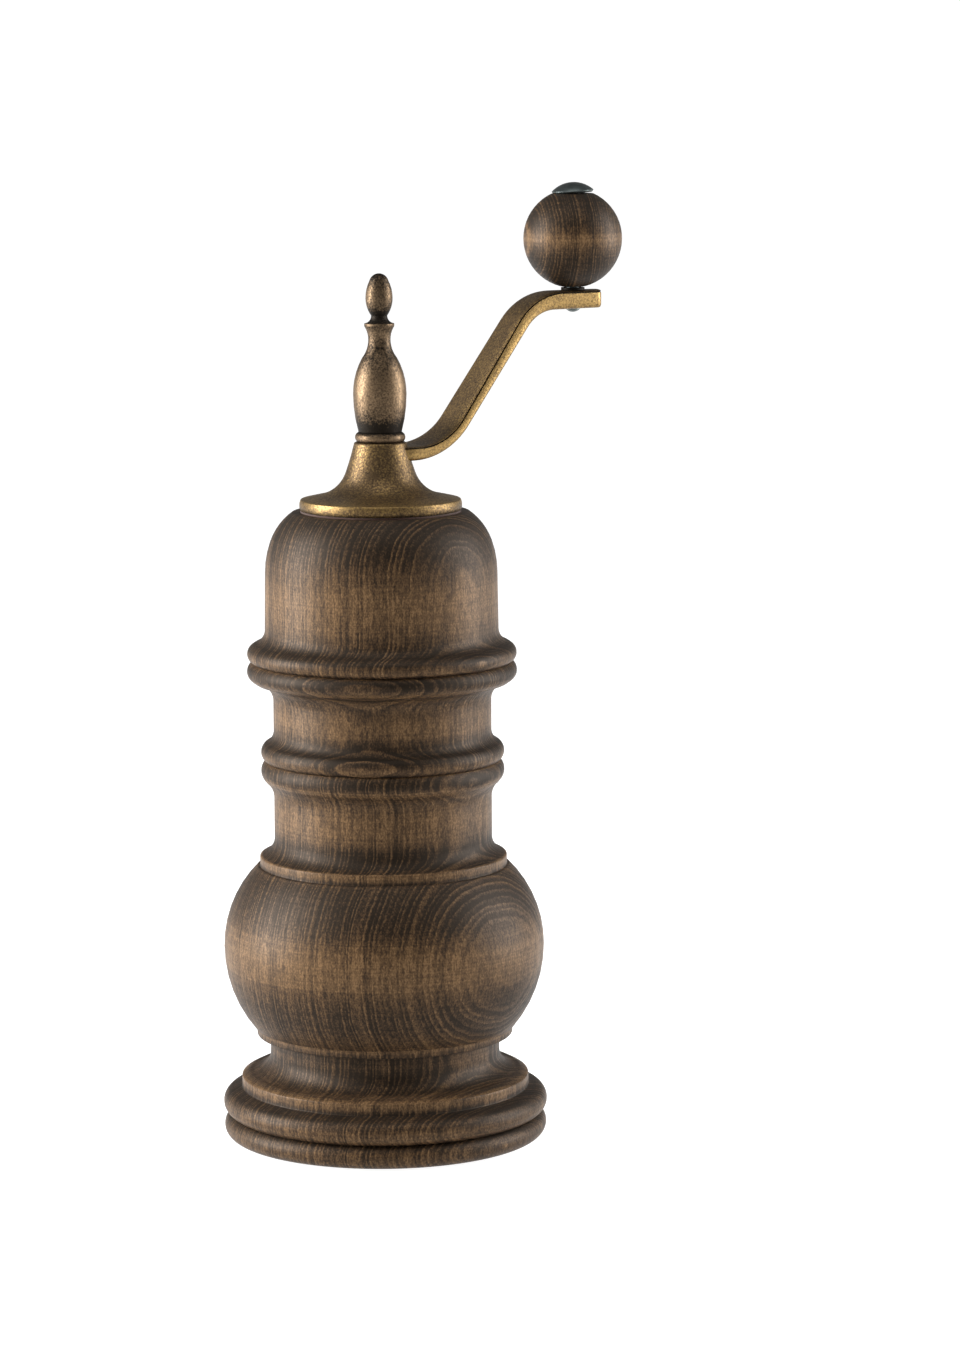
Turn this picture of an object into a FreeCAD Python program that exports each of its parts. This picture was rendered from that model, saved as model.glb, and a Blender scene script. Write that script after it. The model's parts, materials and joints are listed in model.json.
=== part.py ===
import FreeCAD, Part
import math
import os
import re
import Sketcher

# Upright hand coffee mill: a turned wooden base, barrel and head, a cast bell with a crank arm
# on top, and a conical burr mechanism hanging inside. All sizes are in millimetres and degrees.
# The origin is the centre of the resting face, with +Z up and the crank arm along +X.

sizes = {
    # stack of the three turned wood parts
    "baseHeight": 115.4, "barrelHeight": 29.8, "headHeight": 45.0, "socketClearance": 0.05,
    "spigotLength": 7.4, "spigotRadius": 28.95, "headSpigotRadius": 30.95,
    # foot
    "feltRadius": 42.0, "feltThickness": 1.6, "feltStandout": 0.6, "feltGap": 0.3,
    "footRadius": 46.2, "footBead": 7.5, "beadTurn": 148, "discRadius": 43.4, "discTop": 19.2,
    "discChamfer": 0.8, "ledgeRadius": 41.0, "ledgeTop": 20.4, "footNeckRadius": 34.65,
    "footNeckStart": 26.4,
    # bulb
    "bulbFloor": 31.9, "bulbDiscTop": 34.2, "bulbDiscRadius": 38.65, "bulbDiscStep": 0.6,
    "bulbRadius": 48.3, "bulbWidest": 59.0, "bulbToRim": 31.9, "rimRadius": 37.2, "rimBand": 3.0,
    "rimStep": 0.7, "rimChamfer": 0.8, "lipSlope": 0.3, "lipFall": 0.4, "lowerNeckRadius": 32.75,
    "neckFlareDrop": 23.4, "coveDrop": 11.2, "lowerLipRadius": 35.4, "lowerLipDrop": 5.9,
    "lowerJointRadius": 35.2, "lowerBeadTurn": 92, "chamberRadius": 25.5, "chamberFloor": 22.0,
    "chamberCorner": 7.0, "socketDepth": 11.5,
    # barrel
    "collarBead": 5.0, "collarBeadTurn": 100, "collarShoulder": 35.5, "upperNeckRadius": 32.7,
    "upperNeckStart": 9.0, "upperNeckEnd": 18.1, "upperLipRadius": 38.4, "upperLip": 24.1,
    "upperJointRadius": 38.8, "upperBeadTurn": 132, "housingBore": 24.0, "housingBoreTop": 7.2,
    "hopperRadius": 27.0, "hopperStart": 11.0,
    # head
    "headBead": 5.1, "headBeadTurn": 130, "headBeadLean": 0.1, "wallRadius": 35.0,
    "wallStart": 9.8, "wallTopRadius": 34.75, "wallTop": 26.8, "shoulderRadius": 33.1,
    "shoulder": 36.2, "crownRadius": 26.4, "domeTurn": 35.6, "headSocketDepth": 11.3,
    "headBore": 29.5, "headCeiling": 34.0, "headCorner": 8.0,
    # bell and hub
    "washerThickness": 0.5, "washerRadius": 24.0, "bellRadius": 24.4, "bellEdge": 3.2,
    "bellEdgeTurn": 100, "bellRim": 2.0, "bellFoot": 0.4, "bellLean": 0.1,
    "bellSlopeRadius": 18.0, "bellSlope": 4.5, "bellThroatRadius": 10.45, "bellThroat": 11.1,
    "bellFlareTurn": 58, "hubTopRadius": 7.9, "hubHeight": 20.3, "bellWall": 2.4,
    "throatWall": 1.2, "innerFlareTurn": 50, "hubCorner": 0.7, "hubCornerTurn": 80,
    "hubHollowTurn": 6, "bossRadius": 7.2, "bossDrop": 1.2, "squareStart": 9.3,
    "squareAcross": 5.6,
    # crank arm
    "crankRadius": 68.0, "armEnd": 76.5, "armRootThickness": 4.3, "armWaist": 3.5,
    "armShoulder": 4.3, "armTipThickness": 5.5, "armRootWidth": 15.5, "armTipWidth": 8.3,
    "armRoot": 3.5, "armLevelEnd": 9.8, "armSlope": 54.0, "armRootBend": 18.5, "armTipBend": 20.1,
    "armDrop": 1.3, "armRise": 63.0, "armCorner": 2.0, "armCornerTurn": 88, "cutMargin": 1.0,
    # knob
    "ballRadius": 15.0, "ballCentre": 15.6, "knobWasher": 0.8, "knobWasherRadius": 3.6,
    "ballFlat": 1.1, "ballPlay": 0.1, "rivetRadius": 2.05, "rivetHead": 6.4, "rivetEdge": 0.8,
    "rivetCrown": 2.6, "rivetTail": 1.2, "tailCrown": 0.8, "capUndercut": 0.3, "capSeat": 29.3,
    # finial
    "collarRadius": 6.7, "collarHeight": 3.0, "collarTurn": 120, "collarChamfer": 0.2,
    "finialFoot": 6.45, "finialBelly": 7.97, "finialBellyAt": 11.3, "finialShoulder": 5.2,
    "finialShoulderAt": 22.0, "finialWaist": 3.32, "finialWaistAt": 27.4, "finialRing": 4.48,
    "finialRingAt": 31.4, "finialRingBand": 0.8, "finialThroat": 2.4, "finialThroatAt": 34.5,
    "finialEgg": 4.04, "finialEggAt": 39.7, "finialTipRadius": 2.8, "finialTipAt": 44.9,
    "finialHeight": 47.0,
    # shaft and bearings
    "shaftRadius": 4.0, "runningGap": 0.05, "threadRadius": 2.5, "threadLength": 10.8,
    "shaftDrop": 38.0, "flatsAcross": 6.2, "bushRadius": 6.5, "bushFlange": 9.0,
    "bushFlangeThickness": 1.0, "bridgeThickness": 1.5, "bridgeWidth": 14.0, "bridgeReach": 29.6,
    "bridgeScrewAt": 28.9, "bridgeBushRadius": 5.0, "bridgeBushDrop": 2.0, "bridgeBushLip": 7.0,
    "screwRadius": 1.2, "screwHead": 2.1, "screwHeadHeight": 1.5, "screwLength": 7.0,
    "screwFit": 0.02,
    # burr housing
    "flangeRadius": 28.4, "flangeThickness": 1.5, "flangeScrewAt": 26.2, "housingRadius": 23.8,
    "housingTop": 6.0, "housingDrop": 20.4, "burrSeatRadius": 20.5, "burrTop": -3.4,
    "burrLip": 18.6, "burrLipThickness": 1.5, "funnelRadius": 22.4, "spiderHubRadius": 7.4,
    "spiderHubBottom": 0.6, "spiderHubTop": 8.6, "spiderArmWidth": 4.5, "spiderArmTop": 5.2,
    "spiderRelief": 0.4, "spiderRoot": 0.8, "spiderBushRadius": 5.5, "retainerRadius": 23.8,
    "retainerBore": 18.2, "retainerThickness": 1.2, "retainerScrewAt": 22.15,
    "retainerScrewRadius": 0.9, "retainerScrewHead": 1.5, "retainerScrewLength": 5.0,
    # burrs
    "coneTop": -2.4, "coneLength": 20.0, "coneTopRadius": 9.0, "coneBottomRadius": 17.8,
    "coneChamfer": 0.6, "burrGap": 0.5, "burrThroat": -11.4, "burrMouth": 15.6, "coneTeeth": 16,
    "ringTeeth": 20, "coneToothDepth": 1.6, "coneToothWidth": 2.4, "ringToothDepth": 1.2,
    "ringToothWidth": 1.6, "springPocketRadius": 6.5, "springPocketDepth": 9.0,
    "springRadius": 5.3, "wireRadius": 0.6, "springTurns": 4, "thrustRadius": 6.3,
    "thrustThickness": 0.8, "seatGap": 0.1,
    # adjusting nut, collar and clip on the shaft
    "nutWasherRadius": 8.0, "nutWasherThickness": 1.0, "nutRadius": 10.0, "nutHeight": 6.0,
    "nutNotches": 12, "notchRadius": 1.1, "thrustCollarRadius": 7.0, "thrustCollarHeight": 4.0,
    "pinRadius": 1.1, "clipRadius": 5.6, "clipThickness": 1.0, "clipRise": 2.0,
}

screwCount = 3      # screws through each flange of the burr housing
spiderArms = 3

# Sizes and levels that follow from the sheet, written as expressions of it.
derived = {
    "barrelTop": "baseHeight + barrelHeight",
    "headTop": "barrelTop + headHeight",
    "bellBottom": "headTop + washerThickness",
    "hubTop": "bellBottom + hubHeight",
    "armTop": "bellBottom + armRise",
    "socketRadius": "spigotRadius + socketClearance",
    "headSocketRadius": "headSpigotRadius + socketClearance",
    "shaftBore": "shaftRadius + runningGap",
    "threadBore": "threadRadius + runningGap",
    "recessRadius": "feltRadius + feltGap",
    "recessTop": "feltThickness",
    "coneBottom": "coneTop - coneLength",
    "coneSlope": "(coneBottomRadius - coneTopRadius) / coneLength",
    "housingBottom": "0 - housingDrop",
    "ringBottomRadius": "coneBottomRadius - coneSlope * (housingBottom - coneBottom) + burrGap",
    "ringThroatRadius": "coneBottomRadius - coneSlope * (burrThroat - coneBottom) + burrGap",
    "shoulderTop": "bellBottom + squareStart - baseHeight",
    "squareTop": "bellBottom + hubHeight - baseHeight",
    "bridgeBottom": "barrelHeight + spigotLength",
    "bridgeTop": "bridgeBottom + bridgeThickness",
    "nutWasherBottom": "coneBottom - nutWasherThickness",
    "spiderBushTop": "spiderHubTop + bushFlangeThickness",
    "rivetTailBottom": "0 - armTipThickness - rivetTail",
    "pinHeight": "spiderBushTop + seatGap + thrustCollarHeight / 2",
}

doc = FreeCAD.newDocument("CoffeeMill")
sheet = doc.addObject("Spreadsheet::Sheet", "Sizes")
for row, (name, number) in enumerate(sizes.items(), start=1):
    sheet.set(f"A{row}", name)
    sheet.set(f"B{row}", str(number))
    sheet.setAlias(f"B{row}", name)
doc.recompute()

derivedWords = re.compile(r"\b(" + "|".join(derived) + r")\b")
sizeWords = re.compile(r"\b(" + "|".join(sizes) + r")\b")
subParts = []


def expand(text):
    """The expression with every derived name written out."""
    return derivedWords.sub(lambda found: "(" + expand(derived[found[0]]) + ")", text)


def linked(text):
    """The expression with each size named as a cell of the sheet."""
    return sizeWords.sub(r"Sizes.\1", expand(text))


def amount(text):
    return float(sheet.evalExpression(linked(text)))


def bind(item, path, text):
    item.setExpression(path, linked(text))


def newBody(label, height="0", x="0", y="0"):
    body = doc.addObject("PartDesign::Body", label)
    body.Label = label
    bind(body, "Placement.Base.x", x)
    bind(body, "Placement.Base.y", y)
    bind(body, "Placement.Base.z", height)
    subParts.append(body)
    return body


def originFeature(body, role):
    return next(item for item in body.Origin.OriginFeatures if item.Role == role)


def newSketch(body, role, offset="0"):
    sketch = body.newObject("Sketcher::SketchObject", body.Name + "Sketch")
    sketch.AttachmentSupport = (originFeature(body, role), [""])
    sketch.MapMode = "FlatFace"
    bind(sketch, "AttachmentOffset.Base.z", offset)
    return sketch


def arcSine(ratio):
    return math.degrees(math.asin(ratio))


def arcBetween(start, end, turn):
    """A circle arc that leaves start and reaches end, turning left when turn is positive."""
    chord = end - start
    radius = chord.Length / 2 / abs(math.sin(math.radians(turn / 2)))
    side = FreeCAD.Vector(-chord.y, chord.x, 0).normalize() * (1 if turn > 0 else -1)
    centre = start + chord / 2 + side * (radius ** 2 - (chord.Length / 2) ** 2) ** 0.5
    bulge = centre - side * radius
    return Part.ArcOfCircle(start, bulge, end)


def drawOutline(sketch, steps):
    """Draw a closed outline. Each step is (x, y) for a line or (x, y, turn) for an arc there.
    The turn "fair" or "-fair" is the arc that stands vertical at one of its two ends,
    "crown" is the arc that lies level on the axis, and "around R" is the arc of radius R."""
    spots = [FreeCAD.Vector(amount(step[0]), amount(step[1]), 0) for step in steps]
    edges, radii, ends = [], [], []
    for index, spot in enumerate(spots):
        last = index - 1
        run = f"(({steps[index][0]}) - ({steps[last][0]}))"
        rise = f"(({steps[index][1]}) - ({steps[last][1]}))"
        start = spots[last]
        if len(steps[index]) == 2:
            edges.append(Part.LineSegment(start, spot))
            radii.append(None)
            ends.append((1, 2))
            continue
        kind = steps[index][2]
        if kind in ("fair", "-fair"):
            halfSine = f"(abs({run}) / sqrt({run}^2 + {rise}^2))"
            turn = 2 * arcSine(amount(halfSine)) * (1 if kind == "fair" else -1)
        elif kind == "crown":
            halfSine = f"(abs({rise}) / sqrt({run}^2 + {rise}^2))"
            turn = 2 * arcSine(amount(halfSine))
        elif kind.startswith("around "):
            halfSine = f"(sqrt({run}^2 + {rise}^2) / 2 / ({kind[7:]}))"
            turn = 2 * arcSine(amount(halfSine))
        else:
            turn = amount(kind)
            halfSine = f"sin(abs({kind}) / 2)"
        edges.append(arcBetween(start, spot, turn))
        radii.append(f"sqrt({run}^2 + {rise}^2) / 2 / {halfSine}")
        ends.append((1, 2) if turn > 0 else (2, 1))
    firstEdge = sketch.GeometryCount
    sketch.addGeometry(edges, False)
    rules, bound = [], []
    for index in range(len(steps)):
        follower = (index + 1) % len(steps)
        rules.append(Sketcher.Constraint("Coincident", firstEdge + index, ends[index][1],
                                         firstEdge + follower, ends[follower][0]))
    for index, spot in enumerate(spots):
        place = (firstEdge + index, ends[index][1])
        for name, number, text in (("DistanceX", spot.x, steps[index][0]),
                                   ("DistanceY", spot.y, steps[index][1])):
            if text == "0":
                rules.append(Sketcher.Constraint("PointOnObject", *place,
                                                 -2 if name == "DistanceX" else -1))
                continue
            bound.append((len(rules), text))
            rules.append(Sketcher.Constraint(name, -1, 1, *place, number))
        if radii[index]:
            bound.append((len(rules), radii[index]))
            rules.append(Sketcher.Constraint("Radius", firstEdge + index,
                                             amount(radii[index])))
    first = sketch.ConstraintCount
    sketch.addConstraint(rules)
    for number, text in bound:
        bind(sketch, f"Constraints[{first + number}]", text)


def drawCircle(sketch, radius, x="0", y="0"):
    centre = FreeCAD.Vector(amount(x), amount(y), 0)
    index = sketch.addGeometry(Part.Circle(centre, FreeCAD.Vector(0, 0, 1), amount(radius)), False)
    rules = [("Radius", radius, Sketcher.Constraint("Radius", index, amount(radius)))]
    for name, text, number, axis in (("DistanceX", x, centre.x, -2), ("DistanceY", y, centre.y, -1)):
        if text == "0":
            sketch.addConstraint(Sketcher.Constraint("PointOnObject", index, 3, axis))
        else:
            rules.append((name, text, Sketcher.Constraint(name, -1, 1, index, 3, number)))
    for name, text, rule in rules:
        bind(sketch, f"Constraints[{sketch.addConstraint(rule)}]", text)


def drawBox(sketch, left, low, right, high):
    drawOutline(sketch, [(left, low), (right, low), (right, high), (left, high)])


def revolve(body, steps, kind="PartDesign::Revolution"):
    sketch = newSketch(body, "XZ_Plane")
    drawOutline(sketch, steps)
    feature = body.newObject(kind, body.Name + "Turned")
    feature.Profile = sketch
    feature.ReferenceAxis = (sketch, ["V_Axis"])
    feature.Angle = 360
    return feature


def extrude(body, sketch, length, kind="PartDesign::Pad", reverse=False, both=False):
    """Pad or pocket a sketch. A pocket that removes nothing stops the build."""
    doc.recompute()
    cutting = kind == "PartDesign::Pocket"
    before = body.Shape.Volume if cutting else 0
    feature = body.newObject(kind, body.Name + "Milled")
    feature.Profile = sketch
    bind(feature, "Length", length)
    feature.Reversed = reverse
    if both:
        feature.SideType = "Symmetric"
    doc.recompute()
    if cutting and body.Shape.Volume >= before:
        raise RuntimeError(f"{body.Label}: a pocket removed nothing")
    return feature


def pocket(body, sketch, length, reverse=False, both=False):
    return extrude(body, sketch, length, "PartDesign::Pocket", reverse, both)


def repeatAround(body, feature, count):
    pattern = body.newObject("PartDesign::PolarPattern", body.Name + "Pattern")
    pattern.Originals = [feature]
    pattern.Axis = (originFeature(body, "Z_Axis"), [""])
    pattern.Angle = 360
    bind(pattern, "Occurrences", count)
    body.Tip = pattern


def turned(label, height, steps, x="0", y="0"):
    body = newBody(label, height, x, y)
    revolve(body, steps)
    return body


def ring(label, height, outer, inner, low, high):
    return turned(label, height, [(inner, low), (outer, low), (outer, high), (inner, high)])


def flangedBush(label, height, radius, lip, low, seat):
    """A bearing bush with its flange lying on the seat."""
    top = f"{seat} + bushFlangeThickness"
    return turned(label, height, [
        ("shaftBore", low), (radius, low), (radius, seat), (lip, seat), (lip, top),
        ("shaftBore", top)])


# ---- turned wood ----

def makeBase():
    body = turned("base_body", "0", [
        ("0", "recessTop"), ("recessRadius", "recessTop"), ("recessRadius", "feltStandout"),
        ("footRadius", "feltStandout"), ("footRadius", "footBead", "beadTurn"),
        ("footRadius", "2 * footBead", "beadTurn"), ("discRadius", "2 * footBead + discChamfer"),
        ("discRadius", "discTop"), ("ledgeRadius", "ledgeTop"),
        ("footNeckRadius", "footNeckStart", "-fair"), ("footNeckRadius", "bulbFloor"),
        ("bulbDiscRadius", "bulbFloor"), ("bulbDiscRadius", "bulbDiscTop"),
        ("bulbDiscRadius + bulbDiscStep", "bulbDiscTop"), ("bulbRadius", "bulbWidest", "fair"),
        ("rimRadius + rimStep", "baseHeight - bulbToRim", "fair"),
        ("rimRadius", "baseHeight - bulbToRim"),
        ("rimRadius", "baseHeight - bulbToRim + rimBand"),
        ("rimRadius - rimChamfer", "baseHeight - bulbToRim + rimBand + lipFall"),
        ("lowerNeckRadius", "baseHeight - neckFlareDrop", "-fair"),
        ("lowerNeckRadius", "baseHeight - coveDrop"),
        ("lowerLipRadius - lipSlope", "baseHeight - lowerLipDrop - lipFall", "-fair"),
        ("lowerLipRadius", "baseHeight - lowerLipDrop"),
        ("lowerJointRadius", "baseHeight", "lowerBeadTurn"),
        ("socketRadius", "baseHeight"), ("socketRadius", "baseHeight - socketDepth"),
        ("chamberRadius", "baseHeight - socketDepth"),
        ("chamberRadius", "chamberFloor + chamberCorner"),
        ("chamberRadius - chamberCorner", "chamberFloor", "0 - 90"), ("0", "chamberFloor")])
    return body


def makeBarrel():
    body = turned("barrel", "baseHeight", [
        ("housingBore", "0 - spigotLength"), ("spigotRadius", "0 - spigotLength"),
        ("spigotRadius", "0"), ("lowerJointRadius", "0"),
        ("collarShoulder", "collarBead", "collarBeadTurn"),
        ("collarShoulder - lipFall", "collarBead + lipSlope"),
        ("upperNeckRadius", "upperNeckStart", "-fair"), ("upperNeckRadius", "upperNeckEnd"),
        ("upperLipRadius - lipSlope", "upperLip - lipFall", "-fair"), ("upperLipRadius", "upperLip"),
        ("upperJointRadius", "barrelHeight", "upperBeadTurn"),
        ("headSpigotRadius", "barrelHeight"), ("headSpigotRadius", "bridgeBottom"),
        ("hopperRadius", "bridgeBottom"), ("hopperRadius", "hopperStart"),
        ("housingBore", "housingBoreTop")])
    for side in ("bridgeScrewAt", "0 - bridgeScrewAt"):
        sketch = newSketch(body, "XY_Plane", "bridgeBottom")
        drawCircle(sketch, "screwRadius + screwFit", side)
        pocket(body, sketch, "screwLength + screwFit")
    sketch = newSketch(body, "XY_Plane", "0 - spigotLength")
    drawCircle(sketch, "screwRadius + screwFit", "flangeScrewAt")
    repeatAround(body, pocket(body, sketch, "screwLength", reverse=True), str(screwCount))


def makeHead():
    turned("head_dome", "barrelTop", [
        ("headSocketRadius", "0"), ("upperJointRadius", "0"),
        ("upperJointRadius - headBeadLean", "headBead", "headBeadTurn"),
        ("upperJointRadius - headBeadLean - lipFall", "headBead + lipSlope"),
        ("wallRadius", "wallStart", "-fair"),
        ("wallTopRadius", "wallTop"), ("shoulderRadius", "shoulder", "fair"),
        ("crownRadius", "headHeight", "domeTurn"), ("bushRadius", "headHeight"),
        ("bushRadius", "headCeiling"), ("headBore - headCorner", "headCeiling"),
        ("headBore", "headCeiling - headCorner", "0 - 90"), ("headBore", "headSocketDepth"),
        ("headSocketRadius", "headSocketDepth")])


# ---- crank ----

def makeCrank():
    body = newBody("crank_casting", "bellBottom")
    side = newSketch(body, "XZ_Plane")
    level = "(hubHeight - armDrop)"
    lift = "(1 - cos(armSlope))"
    rootFoot = f"({level} - armRootThickness)"
    tipFoot = "(armRise - armTipThickness)"
    # The two ends of the straight slope on top, and the points under them.
    lowX = "(armLevelEnd + armRootBend * sin(armSlope))"
    lowZ = f"({level} + armRootBend * {lift})"
    highZ = f"(armRise - armTipBend * {lift})"
    highX = f"({lowX} + ({highZ} - {lowZ}) / tan(armSlope))"
    underLowX = f"({lowX} + armWaist * sin(armSlope))"
    underLowZ = f"({lowZ} - armWaist * cos(armSlope))"
    underHighX = f"({highX} + armShoulder * sin(armSlope))"
    underHighZ = f"({highZ} - armShoulder * cos(armSlope))"
    drawOutline(side, [
        ("armRoot", level), ("armRoot", rootFoot),
        (f"{underLowX} - ({underLowZ} - {rootFoot}) / tan(armSlope / 2)", rootFoot),
        (underLowX, underLowZ, "armSlope"), (underHighX, underHighZ),
        (f"{underHighX} + ({tipFoot} - {underHighZ}) / tan(armSlope / 2)", tipFoot,
         "0 - armSlope"),
        ("armEnd", tipFoot), ("armEnd", "armRise"),
        (f"{highX} + armTipBend * sin(armSlope)", "armRise"), (highX, highZ, "armSlope"),
        (lowX, lowZ), ("armLevelEnd", level, "0 - armSlope")])
    extrude(body, side, "armRootWidth", both=True)
    plan = newSketch(body, "XY_Plane")
    drawBox(plan, "armRoot - 2 * cutMargin", "0 - armRootWidth", "armEnd + cutMargin",
            "armRootWidth")
    drawOutline(plan, [
        ("armRoot - cutMargin", "0 - armRootWidth / 2"), ("armEnd - armCorner", "0 - armTipWidth / 2"),
        ("armEnd", "0 - armTipWidth / 2 + armCorner", "armCornerTurn"),
        ("armEnd", "armTipWidth / 2 - armCorner"),
        ("armEnd - armCorner", "armTipWidth / 2", "armCornerTurn"),
        ("armRoot - cutMargin", "armRootWidth / 2")])
    pocket(body, plan, "armRise + cutMargin", reverse=True)
    revolve(body, [
        ("bossRadius", "bossDrop"), ("bossRadius", "squareStart - cutMargin"),
        ("bellThroatRadius - throatWall", "bellThroat - bellWall"),
        ("bellSlopeRadius - cutMargin", "bellSlope - bellWall", "innerFlareTurn"),
        ("bellRadius - bellRim", "bossDrop"), ("bellRadius - bellRim", "0"), ("bellRadius - bellFoot", "0"),
        ("bellRadius - bellFoot - bellLean", "bellEdge", "bellEdgeTurn"), ("bellSlopeRadius", "bellSlope"),
        ("bellThroatRadius", "bellThroat", "0 - bellFlareTurn"),
        ("hubTopRadius", "hubHeight - hubCorner", "0 - hubHollowTurn"),
        ("hubTopRadius - hubCorner", "hubHeight", "hubCornerTurn"),
        ("0", "hubHeight"), ("0", "squareStart"), ("shaftBore", "squareStart"),
        ("shaftBore", "bossDrop")])
    square = newSketch(body, "XY_Plane", "squareStart")
    half = "(squareAcross / 2 + runningGap)"
    drawBox(square, f"0 - {half}", f"0 - {half}", half, half)
    pocket(body, square, "hubHeight", reverse=True)
    hole = newSketch(body, "XY_Plane", "armRise")
    drawCircle(hole, "rivetRadius + screwFit", "crankRadius")
    pocket(body, hole, "armTipThickness + cutMargin")


def makeKnob():
    topSeat = "capSeat - seatGap"
    turned("knob_ball", "armTop", [
        ("rivetRadius + ballPlay", "ballFlat"),
        ("sqrt(ballRadius^2 - (ballCentre - ballFlat)^2)", "ballFlat"),
        ("ballRadius", "ballCentre", "fair"),
        (f"sqrt(ballRadius^2 - ({topSeat} - ballCentre)^2)", topSeat, "fair"),
        ("rivetRadius + ballPlay", topSeat)], x="crankRadius")
    turned("knob_washer", "armTop", [
        ("rivetRadius + screwFit", "0"), ("knobWasherRadius", "0"),
        ("knobWasherRadius", "knobWasher"), ("rivetRadius + screwFit", "knobWasher")],
        x="crankRadius")
    turned("knob_rivet", "armTop", [
        ("0", "rivetTailBottom"), ("rivetRadius", "rivetTailBottom + tailCrown", "crown"),
        ("rivetRadius", "capSeat"), ("rivetHead - capUndercut", "capSeat"),
        ("rivetHead", "capSeat + rivetEdge"),
        ("0", "capSeat + rivetEdge + rivetCrown", "crown")], x="crankRadius")


def makeFinial():
    turned("finial_collar", "hubTop", [
        ("threadBore", "0"), ("collarRadius", "0"),
        ("collarRadius", "collarHeight - collarChamfer", "collarTurn"),
        ("collarRadius - collarChamfer", "collarHeight"), ("threadBore", "collarHeight")])
    turned("finial", "hubTop + collarHeight", [
        ("threadBore", "0"), ("finialFoot", "0"), ("finialBelly", "finialBellyAt", "fair"),
        ("finialShoulder", "finialShoulderAt", "fair"),
        ("finialWaist", "finialWaistAt", "-fair"), ("finialRing", "finialRingAt", "-fair"),
        ("finialRing", "finialRingAt + finialRingBand"),
        ("finialThroat", "finialThroatAt", "-fair"), ("finialEgg", "finialEggAt", "fair"),
        ("finialTipRadius", "finialTipAt", "fair"), ("0", "finialHeight", "crown"),
        ("0", "threadLength - collarHeight + cutMargin"),
        ("threadBore", "threadLength - collarHeight + cutMargin")])


# ---- shaft and bearings ----

def makeShaft():
    body = newBody("drive_shaft", "baseHeight")
    rod = newSketch(body, "XY_Plane", "0 - shaftDrop")
    drawCircle(rod, "shaftRadius")
    extrude(body, rod, "shaftDrop + shoulderTop")
    square = newSketch(body, "XY_Plane", "shoulderTop")
    drawBox(square, "0 - squareAcross / 2", "0 - squareAcross / 2", "squareAcross / 2",
            "squareAcross / 2")
    extrude(body, square, "squareTop - shoulderTop")
    # The thread is drawn at its outside diameter.
    thread = newSketch(body, "XY_Plane", "squareTop")
    drawCircle(thread, "threadRadius")
    extrude(body, thread, "threadLength")
    flats = newSketch(body, "XY_Plane", "0 - shaftDrop")
    drawBox(flats, "flatsAcross / 2", "0 - shaftRadius", "shaftRadius + cutMargin", "shaftRadius")
    drawBox(flats, "0 - shaftRadius - cutMargin", "0 - shaftRadius", "0 - flatsAcross / 2", "shaftRadius")
    pocket(body, flats, "shaftDrop", reverse=True)
    pinHole = newSketch(body, "XZ_Plane")
    drawCircle(pinHole, "pinRadius + screwFit", "0", "pinHeight")
    pocket(body, pinHole, "3 * shaftRadius", both=True)


def makeShaftFittings():
    collar = ring("thrust_collar", "baseHeight", "thrustCollarRadius", "shaftRadius",
                  "spiderBushTop + seatGap", "spiderBushTop + seatGap + thrustCollarHeight")
    pinHole = newSketch(collar, "XZ_Plane")
    drawCircle(pinHole, "pinRadius + screwFit", "0", "pinHeight")
    pocket(collar, pinHole, "3 * thrustCollarRadius", both=True)
    pin = newBody("collar_pin", "baseHeight + pinHeight")
    sketch = newSketch(pin, "XZ_Plane")
    drawCircle(sketch, "pinRadius")
    extrude(pin, sketch, "2 * thrustCollarRadius", both=True)
    ring("end_clip", "baseHeight - shaftDrop + clipRise", "clipRadius", "shaftRadius", "0",
         "clipThickness")
    ring("thrust_washer", "baseHeight", "thrustRadius", "shaftRadius",
         "spiderHubBottom - seatGap - thrustThickness", "spiderHubBottom - seatGap")


def makeHeadFittings():
    flangedBush("head_bush", "barrelTop", "bushRadius", "bushFlange", "headCeiling",
                "headHeight")
    ring("bell_washer", "headTop", "washerRadius", "bushFlange + cutMargin", "0", "washerThickness")


def makeBridge():
    body = newBody("upper_bridge", "baseHeight")
    strip = newSketch(body, "XY_Plane", "bridgeBottom")
    drawBox(strip, "0 - bridgeReach", "0 - bridgeWidth / 2", "bridgeReach", "bridgeWidth / 2")
    drawCircle(strip, "bridgeBushRadius")
    extrude(body, strip, "bridgeThickness")
    for side in ("bridgeScrewAt", "0 - bridgeScrewAt"):
        hole = newSketch(body, "XY_Plane", "bridgeTop")
        drawCircle(hole, "screwRadius + screwFit", side)
        pocket(body, hole, "bridgeThickness + cutMargin")
    flangedBush("bridge_bush", "baseHeight", "bridgeBushRadius", "bridgeBushLip",
                "bridgeBottom - bridgeBushDrop", "bridgeTop")
    for number, side in enumerate(("bridgeScrewAt", "0 - bridgeScrewAt"), start=1):
        makeScrew(f"bridge_screw_{number}", "baseHeight + bridgeTop", side, "0")


def makeScrew(label, height, x, y):
    """A pan-headed wood screw that points down from its seat."""
    turned(label, height, [
        ("0", "0 - screwLength"), ("screwRadius", "0 - screwLength + 2 * screwRadius"),
        ("screwRadius", "0"), ("screwHead", "0"), ("screwHead", "screwHeadHeight / 2"),
        ("0", "screwHeadHeight", "crown")], x, y)


def makeUpturnedScrew(label, height, x, y, radius, head, length):
    """A screw that points up, with its head under its seat."""
    turned(label, height, [
        ("0", "0 - screwHeadHeight"), (head, "0 - screwHeadHeight / 2", "crown"), (head, "0"),
        (radius, "0"), (radius, f"{length} - {radius}"), ("0", length)], x, y)


# ---- grinding set ----

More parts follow.
